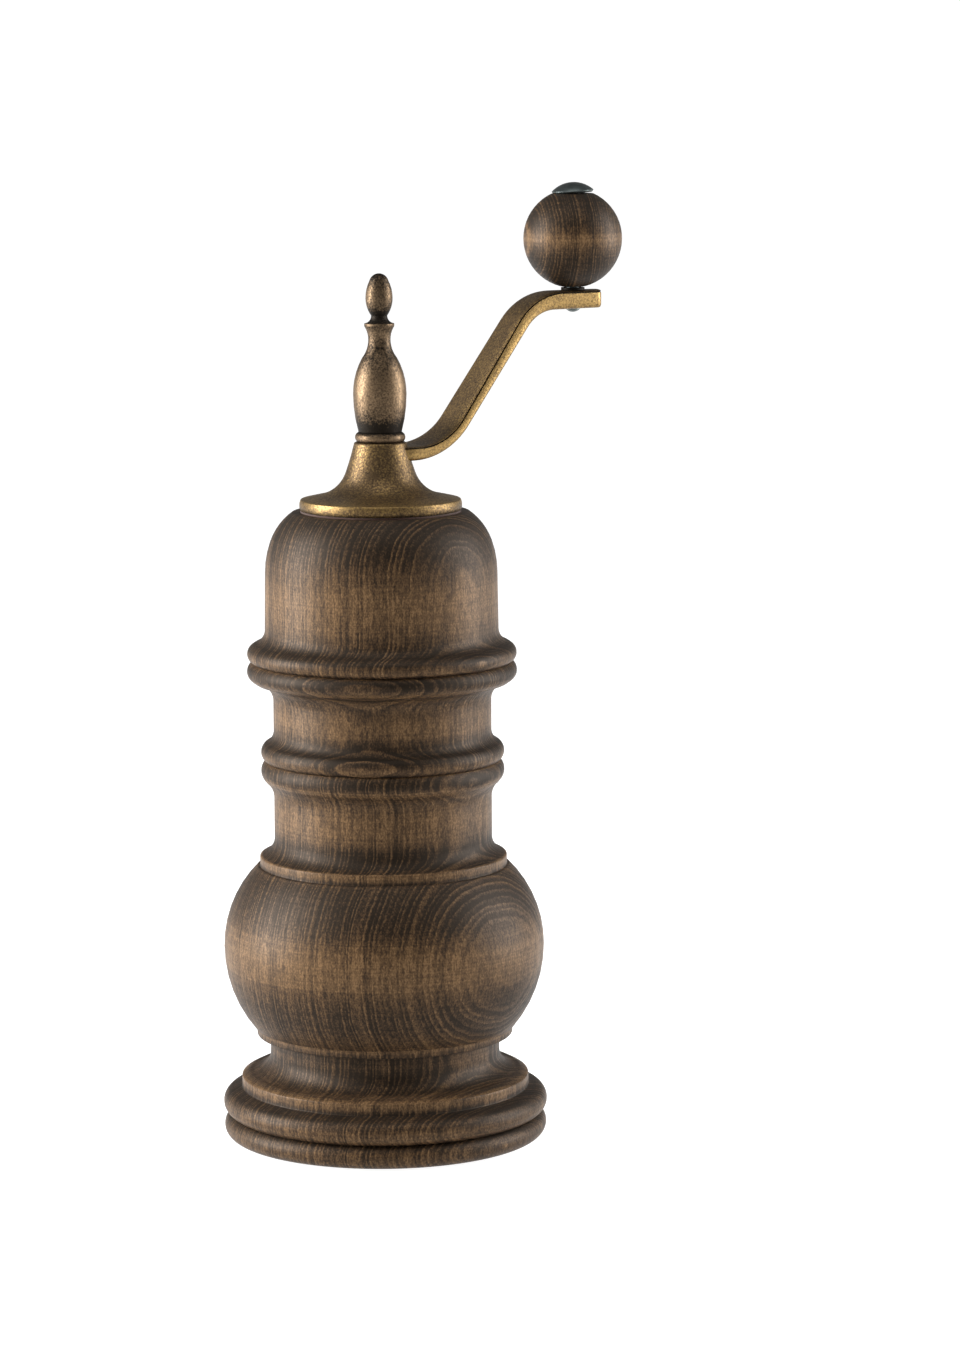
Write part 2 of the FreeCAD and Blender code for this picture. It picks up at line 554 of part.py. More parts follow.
def makeHousing():
    body = turned("burr_housing", "baseHeight", [
        ("burrSeatRadius", "housingBottom"), ("housingRadius", "housingBottom"),
        ("housingRadius", "0 - spigotLength - flangeThickness"),
        ("flangeRadius", "0 - spigotLength - flangeThickness"),
        ("flangeRadius", "0 - spigotLength"), ("housingRadius", "0 - spigotLength"),
        ("housingRadius", "housingTop"), ("funnelRadius", "housingTop"),
        ("burrLip", "burrTop + burrLipThickness"), ("burrLip", "burrTop"),
        ("burrSeatRadius", "burrTop")])
    hub = newSketch(body, "XY_Plane", "spiderHubBottom")
    drawCircle(hub, "spiderHubRadius")
    drawCircle(hub, "spiderBushRadius")
    arm = newSketch(body, "XY_Plane", "spiderHubBottom + spiderRelief")
    drawBox(arm, "spiderHubRadius - cutMargin", "0 - spiderArmWidth / 2", "funnelRadius + spiderRoot",
            "spiderArmWidth / 2")
    repeatAround(body, extrude(body, arm, "spiderArmTop - spiderHubBottom - spiderRelief"),
                 str(spiderArms))
    extrude(body, hub, "spiderHubTop - spiderHubBottom")
    screw = newSketch(body, "XY_Plane", "0 - spigotLength")
    drawCircle(screw, "screwRadius + screwFit", "flangeScrewAt")
    repeatAround(body, pocket(body, screw, "flangeThickness + cutMargin"), str(screwCount))
    tapped = newSketch(body, "XY_Plane", "housingBottom")
    drawCircle(tapped, "retainerScrewRadius + screwFit", "retainerScrewAt")
    repeatAround(body, pocket(body, tapped, "retainerScrewLength", reverse=True), str(screwCount))
    flangedBush("spider_bush", "baseHeight", "spiderBushRadius", "spiderHubRadius - spiderRelief",
                "spiderHubBottom", "spiderHubTop")


def makeRetainer():
    body = ring("burr_retainer", "baseHeight", "retainerRadius", "retainerBore",
                "housingBottom - retainerThickness", "housingBottom")
    hole = newSketch(body, "XY_Plane", "housingBottom")
    drawCircle(hole, "retainerScrewRadius + screwFit", "retainerScrewAt")
    repeatAround(body, pocket(body, hole, "retainerThickness + cutMargin"), str(screwCount))


def makeUndersideScrews():
    for number in range(screwCount):
        turn = f"{360 * number / screwCount}"
        makeUpturnedScrew(
            f"housing_screw_{number + 1}", "baseHeight - spigotLength - flangeThickness",
            f"flangeScrewAt * cos({turn})", f"flangeScrewAt * sin({turn})",
            "screwRadius", "screwHead", "screwLength")
        makeUpturnedScrew(
            f"retainer_screw_{number + 1}", "baseHeight + housingBottom - retainerThickness",
            f"retainerScrewAt * cos({turn})", f"retainerScrewAt * sin({turn})",
            "retainerScrewRadius", "retainerScrewHead", "retainerScrewLength")


def cutTeeth(body, radius, height, depth, width, count, inward):
    """V grooves along the cone's slope, cut by a tilted pocket and repeated around the axis."""
    sketch = newSketch(body, "XY_Plane")
    bind(sketch, "AttachmentOffset.Base.x", radius)
    bind(sketch, "AttachmentOffset.Base.z", height)
    sketch.AttachmentOffset = FreeCAD.Placement(
        sketch.AttachmentOffset.Base, FreeCAD.Rotation(FreeCAD.Vector(0, 1, 0), -1))
    bind(sketch, "AttachmentOffset.Rotation.Angle",
         "atan((coneBottomRadius - coneTopRadius) / coneLength)")
    root, mouth = ("depth", "0 - depth") if inward else ("0 - depth", "depth")
    root = root.replace("depth", depth)
    mouth = mouth.replace("depth", depth)
    drawOutline(sketch, [(root, "0"), (mouth, f"0 - {width}"), (mouth, width)])
    repeatAround(body, pocket(body, sketch, "3 * coneLength", both=True), count)


def makeCone():
    body = turned("cone_burr", "baseHeight", [
        ("0", "coneBottom"), ("coneBottomRadius - coneChamfer", "coneBottom"),
        ("coneBottomRadius", "coneBottom + coneChamfer"), ("coneTopRadius", "coneTop"),
        ("springPocketRadius", "coneTop"),
        ("springPocketRadius", "coneTop - springPocketDepth"),
        ("0", "coneTop - springPocketDepth")])
    cutTeeth(body, "(coneTopRadius + coneBottomRadius) / 2", "coneTop - coneLength / 2",
             "coneToothDepth", "coneToothWidth / 2", "coneTeeth", False)
    bore = newSketch(body, "XY_Plane", "coneTop - springPocketDepth")
    flat = "(flatsAcross / 2 + runningGap)"
    reach = f"sqrt(shaftBore^2 - {flat}^2)"
    drawOutline(bore, [
        (flat, f"0 - {reach}", "around shaftBore"), (flat, reach),
        (f"0 - {flat}", reach, "around shaftBore"), (f"0 - {flat}", f"0 - {reach}")])
    pocket(body, bore, "coneLength")


def makeRingBurr():
    body = turned("ring_burr", "baseHeight", [
        ("ringBottomRadius", "housingBottom"), ("burrSeatRadius", "housingBottom"),
        ("burrSeatRadius", "burrTop"), ("burrMouth", "burrTop"),
        ("ringThroatRadius", "burrThroat")])
    middle = "(housingBottom + burrThroat) / 2"
    cutTeeth(body, "(ringBottomRadius + ringThroatRadius) / 2", middle, "ringToothDepth",
             "ringToothWidth / 2", "ringTeeth", True)


def makeSpring():
    """A compression spring between the cone's pocket and the thrust washer."""
    floor = "coneTop - springPocketDepth + wireRadius + seatGap"
    ceiling = "spiderHubBottom - 2 * seatGap - thrustThickness - wireRadius"
    helix = doc.addObject("Part::Helix", "SpringHelix")
    bind(helix, "Radius", "springRadius")
    bind(helix, "Height", f"({ceiling}) - ({floor})")
    bind(helix, "Pitch", f"(({ceiling}) - ({floor})) / springTurns")
    wire = doc.addObject("Part::Circle", "SpringWire")
    bind(wire, "Radius", "wireRadius")
    bind(wire, "Placement.Base.x", "springRadius")
    wire.Placement.Rotation = FreeCAD.Rotation(FreeCAD.Vector(1, 0, 0), 90)
    spring = doc.addObject("Part::Sweep", "burr_spring")
    spring.Label = "burr_spring"
    spring.Sections = [wire]
    spring.Spine = helix
    spring.Solid = True
    spring.Frenet = True
    bind(spring, "Placement.Base.z", f"baseHeight + {floor}")
    subParts.append(spring)


def makeAdjuster():
    ring("nut_washer", "baseHeight", "nutWasherRadius", "shaftBore", "nutWasherBottom",
         "coneBottom")
    body = ring("adjusting_nut", "baseHeight", "nutRadius", "shaftBore",
                "nutWasherBottom - nutHeight", "nutWasherBottom")
    notch = newSketch(body, "XY_Plane", "nutWasherBottom")
    drawCircle(notch, "notchRadius", "nutRadius")
    repeatAround(body, pocket(body, notch, "nutHeight + cutMargin"), "nutNotches")


def makeFelt():
    felt = doc.addObject("Part::Cylinder", "felt_pad")
    felt.Label = "felt_pad"
    bind(felt, "Radius", "feltRadius")
    bind(felt, "Height", "feltThickness")
    subParts.append(felt)


makeFelt()
makeBase()
makeBarrel()
makeHead()
makeHeadFittings()
makeCrank()
makeKnob()
makeFinial()
makeShaft()
makeShaftFittings()
makeBridge()
makeHousing()
makeRetainer()
makeUndersideScrews()
makeCone()
makeRingBurr()
makeSpring()
makeAdjuster()

doc.recompute()
for item in doc.Objects:
    if "Invalid" in item.State or "Error" in item.State:
        raise RuntimeError(f"{item.Label} failed: {item.State}")
for item in subParts:
    if item.Shape.isNull() or not item.Shape.isValid():
        raise RuntimeError(f"{item.Label} has no valid shape")

os.makedirs("parts", exist_ok=True)
for item in subParts:
    item.Shape.exportStep(f"parts/{item.Label}.step")
    print(item.Label, round(item.Shape.Volume, 1))
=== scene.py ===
import json
import math
import bmesh
import bpy
from mathutils import Matrix, Vector


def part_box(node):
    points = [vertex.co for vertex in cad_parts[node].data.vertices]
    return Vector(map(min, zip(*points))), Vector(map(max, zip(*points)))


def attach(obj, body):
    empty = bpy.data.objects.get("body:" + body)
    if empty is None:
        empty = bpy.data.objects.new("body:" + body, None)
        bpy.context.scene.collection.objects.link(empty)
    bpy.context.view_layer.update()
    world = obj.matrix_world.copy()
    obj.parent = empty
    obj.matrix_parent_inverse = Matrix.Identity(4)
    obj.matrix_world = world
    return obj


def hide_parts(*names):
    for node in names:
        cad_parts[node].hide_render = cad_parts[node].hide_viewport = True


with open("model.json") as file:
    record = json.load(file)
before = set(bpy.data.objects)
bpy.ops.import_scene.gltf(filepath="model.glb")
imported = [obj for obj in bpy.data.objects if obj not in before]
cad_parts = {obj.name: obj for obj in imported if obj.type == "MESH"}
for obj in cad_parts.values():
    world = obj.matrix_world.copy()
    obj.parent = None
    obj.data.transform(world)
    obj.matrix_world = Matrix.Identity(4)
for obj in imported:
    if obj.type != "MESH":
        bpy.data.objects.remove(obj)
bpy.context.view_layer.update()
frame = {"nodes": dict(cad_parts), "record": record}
mm = 0.001

cameraSettings = {
    "azimuth": -30.0,       # from which side it looks
    "distance": 1350.0,     # from the mill's axis, level
    "height": 337.5,
    "pitch": 8.41,          # down
    "yaw": 1.245,           # to the right of the axis
    "roll": 0.29,
    "lens": 119.7, "sensor": 36.0,
    "clipEnd": 500.0,
}


def makeCamera(settings):
    azimuth, pitch, yaw, roll = (math.radians(settings[key])
                                 for key in ("azimuth", "pitch", "yaw", "roll"))
    level = Vector((-math.sin(azimuth), math.cos(azimuth), 0))
    side = level.cross(Vector((0, 0, 1)))
    ahead = level * math.cos(yaw) + side * math.sin(yaw)
    right = ahead.cross(Vector((0, 0, 1))).normalized()
    look = ahead * math.cos(pitch) - Vector((0, 0, math.sin(pitch)))
    up = right.cross(look)
    up, right = (up * math.cos(roll) + right * math.sin(roll),
                 right * math.cos(roll) - up * math.sin(roll))
    camera = bpy.data.objects.new("camera", bpy.data.cameras.new("camera"))
    camera.data.lens = settings["lens"]
    camera.data.sensor_width = settings["sensor"]
    camera.data.clip_end = settings["clipEnd"]
    turn = Matrix((right, up, -look)).transposed().to_4x4()
    place = -level * settings["distance"] * mm + Vector((0, 0, settings["height"] * mm))
    camera.matrix_world = Matrix.Translation(place) @ turn
    bpy.context.scene.collection.objects.link(camera)
    bpy.context.scene.camera = camera


makeCamera(cameraSettings)
print("camera placed")


def addNode(tree, kind, inputs=None, **settings):
    node = tree.nodes.new(kind)
    for name, value in settings.items():
        setattr(node, name, value)
    for key, value in (inputs or {}).items():
        if isinstance(value, bpy.types.NodeSocket):
            tree.links.new(value, node.inputs[key])
        else:
            node.inputs[key].default_value = value
    return node


def hexColour(text):
    parts = [int(text[start:start + 2], 16) / 255 for start in (1, 3, 5)]
    return [part / 12.92 if part <= 0.04045 else ((part + 0.055) / 1.055) ** 2.4
            for part in parts] + [1.0]


def setRamp(node, stops):
    ramp = node.color_ramp
    while len(ramp.elements) < len(stops):
        ramp.elements.new(0.5)
    for element, (place, colour) in zip(ramp.elements, stops):
        element.position = place
        element.color = hexColour(colour) if isinstance(colour, str) else (colour,) * 3 + (1,)


def newMaterial(name):
    material = bpy.data.materials.new(name)
    material.use_nodes = True
    tree = material.node_tree
    tree.nodes.clear()
    shader = addNode(tree, "ShaderNodeBsdfPrincipled")
    addNode(tree, "ShaderNodeOutputMaterial", {"Surface": shader.outputs[0]})
    place = addNode(tree, "ShaderNodeTexCoord").outputs["Object"]
    return material, tree, shader, place


beech = {
    "facing": -120.0,          # degrees, the way the widest figure looks
    "wander": 4.5,             # mm a year's line strays from its round
    "seasons": 0.2, "unevenness": 4.0,      # good years are wide, lean ones narrow
    "bandDepth": 0.66,         # how far runs of years differ
    "ringLift": 0.70,          # how much paler the late wood stays
    "fleckLength": 1.6, "fleckWidth": 0.34, "fleckDepth": 0.26,    # ray flecks, in mm
    "poreSize": 0.2, "poreDepth": 0.46,
    "turningPitch": 0.4, "turningDepth": 0.26,
    "cloudSize": 26.0, "cloudDepth": 0.12,
    "waveScale": (0.03, 0.03, 0.012),      # per mm, longest up the grain
    "yearShape": [(0.0, 0.0), (0.35, 0.15), (0.68, 0.9), (0.82, 1.0), (0.97, 0.0)],
    "faintest": 0.35,          # a weak year's line beside a strong one
    "fleckRange": (0.44, 0.66), "poreRange": (0.3, 0.7),
    "bandScale": 0.3, "bandDetail": 1.5,
    "shadeGain": 0.76, "shadeFloor": 0.17,  # how a profile's shade, partly stain and partly painted shade, darkens the wood
    "roughness": (0.42, 0.56), "relief": 0.10, "reliefStrength": 0.25,
    "ior": 1.5, "specular": 0.26, "specularTint": "#e8cdb4",
    "colours": [(0.0, "#6d543a"), (0.25, "#533f2a"), (0.5, "#3a2b1d"), (0.76, "#211810"),
                (1.0, "#0f0b07")],
}


def stainedBeech(name, settings, grain, centre=(0.0, 0.0)):
    # Steamed beech, turned on a lathe, wiped with dark stain and sealed: the stain sinks into
    # soft early wood. Each profile's shade darkens hollows, joints and bead tops and lightens
    # bellies and lips, partly as sprayed stain and partly as painted shade and painted light.
    # Fine pale year lines, short ray flecks and faint turning lines show through a satin skin.
    material, tree, shader, place = newMaterial(name)
    point = addNode(tree, "ShaderNodeVectorMath", {0: place, 3: 1 / mm},
                    operation="SCALE").outputs[0]
    wave = addNode(tree, "ShaderNodeMapping", {"Vector": point,
                                                "Scale": settings["waveScale"]})
    stray = addNode(tree, "ShaderNodeTexNoise", {"Vector": wave.outputs[0], "Scale": 1.0,
                                                 "Detail": 5.0, "Roughness": 0.56})

    # Years run round the tree's heart, far outside the block.
    turn, distance = grain["heart"]
    angle = math.radians(settings["facing"] + turn)
    apart = addNode(tree, "ShaderNodeVectorMath", {
        0: point, 1: (centre[0] + distance * math.cos(angle),
                      centre[1] + distance * math.sin(angle), 0)}, operation="SUBTRACT")
    level = addNode(tree, "ShaderNodeVectorMath", {0: apart.outputs[0], 1: (1, 1, 0)},
                    operation="MULTIPLY")
    reach = addNode(tree, "ShaderNodeVectorMath", {0: level.outputs[0]}, operation="LENGTH")
    strayed = addNode(tree, "ShaderNodeMath", {0: stray.outputs["Fac"], 1: settings["wander"],
                                               2: reach.outputs["Value"]},
                      operation="MULTIPLY_ADD")
    seasons = addNode(tree, "ShaderNodeTexNoise", {"W": strayed.outputs[0],
                                                   "Scale": settings["seasons"], "Detail": 1.0},
                      noise_dimensions="1D")
    spread = addNode(tree, "ShaderNodeMath", {0: seasons.outputs["Fac"],
                                              1: settings["unevenness"],
                                              2: strayed.outputs[0]}, operation="MULTIPLY_ADD")
    years = addNode(tree, "ShaderNodeMath", {0: spread.outputs[0], 1: 1 / grain["spacing"]},
                    operation="MULTIPLY")
    year = addNode(tree, "ShaderNodeMath", {0: years.outputs[0]}, operation="FRACT")
    count = addNode(tree, "ShaderNodeMath", {0: years.outputs[0]}, operation="FLOOR")
    luck = addNode(tree, "ShaderNodeTexWhiteNoise", {"W": count.outputs[0]},
                   noise_dimensions="1D")
    vigour = addNode(tree, "ShaderNodeMapRange", {"Value": luck.outputs["Value"],
                                                  "To Min": settings["faintest"]})
    late = addNode(tree, "ShaderNodeValToRGB", {0: year.outputs[0]})
    setRamp(late, settings["yearShape"])

    def streaks(scale, detail, roughness=0.5):
        bent = addNode(tree, "ShaderNodeMapping", {"Vector": point, "Scale": scale})
        noise = addNode(tree, "ShaderNodeTexNoise", {"Vector": bent.outputs[0], "Scale": 1.0,
                                                     "Detail": detail, "Roughness": roughness})
        return noise.outputs["Fac"]

    def layered(under, value, depth):
        # Lays a pattern, centred on nothing, over what lies under it.
        centred = addNode(tree, "ShaderNodeMath", {0: value, 1: 0.5}, operation="SUBTRACT")
        layer = addNode(tree, "ShaderNodeMath", {0: centred.outputs[0], 1: depth, 2: under},
                        operation="MULTIPLY_ADD")
        return layer.outputs[0]

    narrow, long = 0.5 / settings["fleckWidth"], 0.5 / settings["fleckLength"]
    fleck = addNode(tree, "ShaderNodeMapRange", {"Value": streaks((narrow, narrow, long), 2.0),
                                                 "From Min": settings["fleckRange"][0],
                                                 "From Max": settings["fleckRange"][1]})
    pore = addNode(tree, "ShaderNodeMapRange", {
        "Value": streaks((0.5 / settings["poreSize"],) * 2 + (0.3 / settings["poreSize"],), 2.0),
        "From Min": settings["poreRange"][0], "From Max": settings["poreRange"][1]})
    turning = streaks((0.004, 0.004, 0.5 / settings["turningPitch"]), 3.0, 0.7)
    cloud = streaks((1 / settings["cloudSize"],) * 2 + (0.6 / settings["cloudSize"],), 2.0)

    # The profile's shade, partly sprayed stain and partly painted shade, sets how dark the wood
    # is, and the grain breaks it up.
    # Painted shade and stain: the profile's shade darkens the wood where it is high.
    shade = addNode(tree, "ShaderNodeAttribute", attribute_name="shade").outputs["Fac"]
    stainedAndShaded = addNode(tree, "ShaderNodeMath", {0: shade, 1: settings["shadeGain"],
                                               2: settings["shadeFloor"]},
                      operation="MULTIPLY_ADD")
    clouded = layered(stainedAndShaded.outputs[0], cloud, settings["cloudDepth"] * 2)
    bands = addNode(tree, "ShaderNodeTexNoise", {
        "W": strayed.outputs[0], "Scale": settings["bandScale"],
        "Detail": settings["bandDetail"]}, noise_dimensions="1D")
    banded = layered(clouded, bands.outputs["Fac"], settings["bandDepth"])
    drawn = addNode(tree, "ShaderNodeMath", {0: late.outputs[0], 1: vigour.outputs[0]},
                    operation="MULTIPLY")
    lifted = addNode(tree, "ShaderNodeMath", {0: drawn.outputs[0], 1: -settings["ringLift"],
                                              2: 1.0}, operation="MULTIPLY_ADD")
    ringed = addNode(tree, "ShaderNodeMath", {0: banded, 1: lifted.outputs[0]},
                     operation="MULTIPLY")
    flecked = addNode(tree, "ShaderNodeMath", {0: fleck.outputs[0], 1: settings["fleckDepth"],
                                               2: ringed.outputs[0]}, operation="MULTIPLY_ADD")
    pored = layered(flecked.outputs[0], pore.outputs[0], settings["poreDepth"])
    lined = layered(pored, turning, settings["turningDepth"] * 2)
    colour = addNode(tree, "ShaderNodeValToRGB", {0: lined})
    setRamp(colour, settings["colours"])
    tree.links.new(colour.outputs[0], shader.inputs["Base Color"])
    rough = addNode(tree, "ShaderNodeMapRange", {"Value": lined,
                                                 "To Min": settings["roughness"][0],
                                                 "To Max": settings["roughness"][1]})
    tree.links.new(rough.outputs[0], shader.inputs["Roughness"])
    relief = addNode(tree, "ShaderNodeMath", {0: pored, 1: -1.0},
                     operation="MULTIPLY")
    bump = addNode(tree, "ShaderNodeBump", {"Height": relief.outputs[0],
                                            "Strength": settings["reliefStrength"],
                                            "Distance": settings["relief"] * mm})
    tree.links.new(bump.outputs[0], shader.inputs["Normal"])
    shader.inputs["IOR"].default_value = settings["ior"]
    shader.inputs["Specular IOR Level"].default_value = settings["specular"]
    shader.inputs["Specular Tint"].default_value = hexColour(settings["specularTint"])
    return material


bronze = {
    "grain": 0.32,             # mm, the size of the cast skin's speckle
    "gold": "#8c7245", "brown": "#4d3d29", "oxide": "#17120c",
    "brownAt": 0.42, "goldAt": 0.85,
    "grainGain": 1.1, "grainOffset": -0.55,
    "patchSize": 9.0, "patchDepth": 0.35,   # mm, broad wear
    "pitSize": 1.7, "pitDepth": 0.32,       # in grains
    "shadeDepth": 0.62,        # how far the profile's shade darkens the metal: oxide in hollows and painted shade
    "relief": 0.10, "reliefStrength": 0.45,
    "metallic": 0.9,
}


def antiqueBronze(name, settings, goldShare, roughness):
    # Brass-plated sand casting, blackened and rubbed back: gold shows on the high grains of a
    # pebbly skin and dark oxide stays between them.
    material, tree, shader, place = newMaterial(name)
    size = settings["grain"] * mm
    grain = addNode(tree, "ShaderNodeTexNoise", {"Vector": place, "Scale": 1 / size / 2,
                                                 "Detail": 2.5, "Roughness": 0.62})
    broad = addNode(tree, "ShaderNodeTexNoise", {"Vector": place, "Detail": 3.0,
                                                 "Scale": 1 / (settings["patchSize"] * mm)})
    pits = addNode(tree, "ShaderNodeTexVoronoi", {"Vector": place,
                                                  "Scale": 1 / (size * settings["pitSize"])})
    shade = addNode(tree, "ShaderNodeAttribute", attribute_name="shade").outputs["Fac"]
    rubbed = addNode(tree, "ShaderNodeMath", {0: grain.outputs["Fac"],
                                              1: settings["grainGain"],
                                              2: settings["grainOffset"]},
                     operation="MULTIPLY_ADD")
    clouded = addNode(tree, "ShaderNodeMath", {0: broad.outputs["Fac"],
                                               1: settings["patchDepth"],
                                               2: rubbed.outputs[0]}, operation="MULTIPLY_ADD")
    pitted = addNode(tree, "ShaderNodeMath", {0: pits.outputs["Distance"],
                                              1: -settings["pitDepth"],
                                              2: clouded.outputs[0]}, operation="MULTIPLY_ADD")
    # The profile's shade darkens the metal towards oxide: partly real oxide in hollows, partly
    # painted shade and painted highlight.
    shadedAndOxidised = addNode(tree, "ShaderNodeMath", {0: shade, 1: -settings["shadeDepth"],
                                              2: pitted.outputs[0]},
                     operation="MULTIPLY_ADD")
    gold = addNode(tree, "ShaderNodeMath", {0: shadedAndOxidised.outputs[0], 1: goldShare},
                   operation="ADD")
    colour = addNode(tree, "ShaderNodeValToRGB", {0: gold.outputs[0]})
    setRamp(colour, [(0.0, settings["oxide"]), (settings["brownAt"], settings["brown"]),
                     (settings["goldAt"], settings["gold"])])
    tree.links.new(colour.outputs[0], shader.inputs["Base Color"])
    rough = addNode(tree, "ShaderNodeMapRange", {"Value": gold.outputs[0],
                                                 "To Min": roughness + 0.16,
                                                 "To Max": roughness - 0.04})
    tree.links.new(rough.outputs[0], shader.inputs["Roughness"])
    bump = addNode(tree, "ShaderNodeBump", {"Height": pitted.outputs[0],
                                            "Strength": settings["reliefStrength"],
                                            "Distance": settings["relief"] * mm})
    tree.links.new(bump.outputs[0], shader.inputs["Normal"])
    shader.inputs["Metallic"].default_value = settings["metallic"]
    return material


lathed = {"pitch": 0.35, "lineShare": 0.45, "dullSize": 6.0, "relief": 0.03}     # mm


def turnedMetal(name, high, low, roughness):
    # Bar stock turned on a lathe: fine rings that follow the axis, a soft streaky shine, and a
    # little dulling where hands and grounds reach.
    material, tree, shader, place = newMaterial(name)
    pitch = lathed["pitch"] * mm
    rings = addNode(tree, "ShaderNodeMapping", {"Vector": place, "Scale": (
        0.1 / pitch, 0.1 / pitch, 1 / pitch)})
    lines = addNode(tree, "ShaderNodeTexNoise", {"Vector": rings.outputs[0], "Scale": 1.0,
                                                 "Detail": 3.0})
    dull = addNode(tree, "ShaderNodeTexNoise", {"Vector": place, "Detail": 4.0,
                                                "Scale": 1 / (lathed["dullSize"] * mm),
                                                "Roughness": 0.6})
    both = addNode(tree, "ShaderNodeMath", {0: lines.outputs["Fac"], 1: lathed["lineShare"],
                                            2: dull.outputs["Fac"]}, operation="MULTIPLY_ADD")
    colour = addNode(tree, "ShaderNodeValToRGB", {0: both.outputs[0]})
    setRamp(colour, [(0.42, low), (0.92, high)])
    tree.links.new(colour.outputs[0], shader.inputs["Base Color"])
    rough = addNode(tree, "ShaderNodeMapRange", {"Value": both.outputs[0], "From Min": 0.4,
                                                 "From Max": 1.0, "To Min": roughness + 0.1,
                                                 "To Max": roughness - 0.05})
    tree.links.new(rough.outputs[0], shader.inputs["Roughness"])
    bump = addNode(tree, "ShaderNodeBump", {"Height": lines.outputs["Fac"], "Strength": 0.2,
                                            "Distance": lathed["relief"] * mm})
    tree.links.new(bump.outputs[0], shader.inputs["Normal"])
    shader.inputs["Metallic"].default_value = 1.0
    return material


def castIron(name):
    # Sand-cast iron left as it came from the mould under thin black paint: grainy and dull.
    material, tree, shader, place = newMaterial(name)
    sand = addNode(tree, "ShaderNodeTexNoise", {"Vector": place, "Scale": 1 / (0.7 * mm),
                                                "Detail": 5.0, "Roughness": 0.65})
    colour = addNode(tree, "ShaderNodeValToRGB", {0: sand.outputs["Fac"]})
    setRamp(colour, [(0.3, "#1d1d1f"), (0.75, "#3d3d40")])
    tree.links.new(colour.outputs[0], shader.inputs["Base Color"])
    bump = addNode(tree, "ShaderNodeBump", {"Height": sand.outputs["Fac"], "Strength": 0.5,
                                            "Distance": 0.15 * mm})
    tree.links.new(bump.outputs[0], shader.inputs["Normal"])
    shader.inputs["Roughness"].default_value = 0.62
    shader.inputs["Metallic"].default_value = 0.6
    return material


def pressedFelt(name, light, dark, fibre):
    # Wool or fibre board pressed flat: short crossed hairs with no weave, and no shine.
    material, tree, shader, place = newMaterial(name)
    hairs = addNode(tree, "ShaderNodeTexNoise", {"Vector": place, "Scale": 1 / (fibre * mm),
                                                 "Detail": 6.0, "Roughness": 0.75,
                                                 "Distortion": 1.5})
    colour = addNode(tree, "ShaderNodeValToRGB", {0: hairs.outputs["Fac"]})
    setRamp(colour, [(0.3, dark), (0.7, light)])
    tree.links.new(colour.outputs[0], shader.inputs["Base Color"])
    bump = addNode(tree, "ShaderNodeBump", {"Height": hairs.outputs["Fac"], "Strength": 0.7,
                                            "Distance": 0.2 * mm})
    tree.links.new(bump.outputs[0], shader.inputs["Normal"])
    shader.inputs["Roughness"].default_value = 0.95
    shader.inputs["Sheen Weight"].default_value = 0.25
    return material


castBronze = antiqueBronze("antiqueBronzeCast", bronze, 0.72, 0.40)
finialBronze = antiqueBronze("antiqueBronzeTurned", {**bronze, "gold": "#806a50",
                                                     "brown": "#5e4d3a", "grain": 0.3},
                             0.46, 0.38)
gunmetal = turnedMetal("gunmetalBlued", "#5d6463", "#333837", 0.38)
# Blackened steel for the knob's seat washer, made dark to stand for the painted shade line under
# the ball.
blackenedShadeSteel = turnedMetal("blackenedShadeSeat", "#1e1b18", "#0f0e0c", 0.55)
brightSteel = turnedMetal("turnedSteel", "#b9bbbd", "#7e8184", 0.28)
burrSteel = turnedMetal("hardenedBurrSteel", "#77797d", "#3f4145", 0.34)
bearingBrass = turnedMetal("turnedBearingBrass", "#cfa75f", "#94713a", 0.28)
housingIron = castIron("castIronPainted")
greenFelt = pressedFelt("pressedWoolFelt", "#2b332c", "#151a16", 0.35)
fibreBoard = pressedFelt("vulcanisedFibre", "#4a2d1f", "#2b1912", 0.6)
print("materials made")

lathe = {
    "segments": 240,
    "arcStep": 7.0,            # degrees between two points of an arc
    "rounding": 0.35,          # mm taken off a crisp corner
    "cornerAngle": 16.0,
    "cornerShare": 0.45,       # of a run that a corner may take
    "runLength": 2.5,          # mm between two points of a straight run
    "weld": 2e-6,
}


def arcPoints(start, end, kind):
    # kind is a turn in degrees, "out" or "in" for the arc that stands upright at one end, or
    # "crown" for one that lies level at one end.
    run, rise = end[0] - start[0], end[1] - start[1]
    chord = math.hypot(run, rise)
    if kind in ("out", "in"):
        turn = 2 * math.asin(abs(run) / chord) * (1 if kind == "out" else -1)
    elif kind == "crown":
        turn = 2 * math.asin(abs(rise) / chord)
    else:
        turn = math.radians(kind)
    return bendPoints(start, end, turn, max(3, math.ceil(math.degrees(abs(turn))
                                                         / lathe["arcStep"])))


def bendPoints(start, end, turn, steps):
    # The points of an arc after its start, the last of them its end.
    run, rise = end[0] - start[0], end[1] - start[1]
    chord = math.hypot(run, rise)
    radius = chord / 2 / math.sin(abs(turn) / 2)
    back = math.sqrt(max(radius ** 2 - chord ** 2 / 4, 0)) * (1 if turn > 0 else -1)
    centre = ((start[0] + end[0]) / 2 - rise / chord * back,
              (start[1] + end[1]) / 2 + run / chord * back)
    first = math.atan2(start[1] - centre[1], start[0] - centre[0])
    return [(centre[0] + radius * math.cos(first + turn * step / steps),
             centre[1] + radius * math.sin(first + turn * step / steps))
            for step in range(1, steps)] + [(end[0], end[1])]


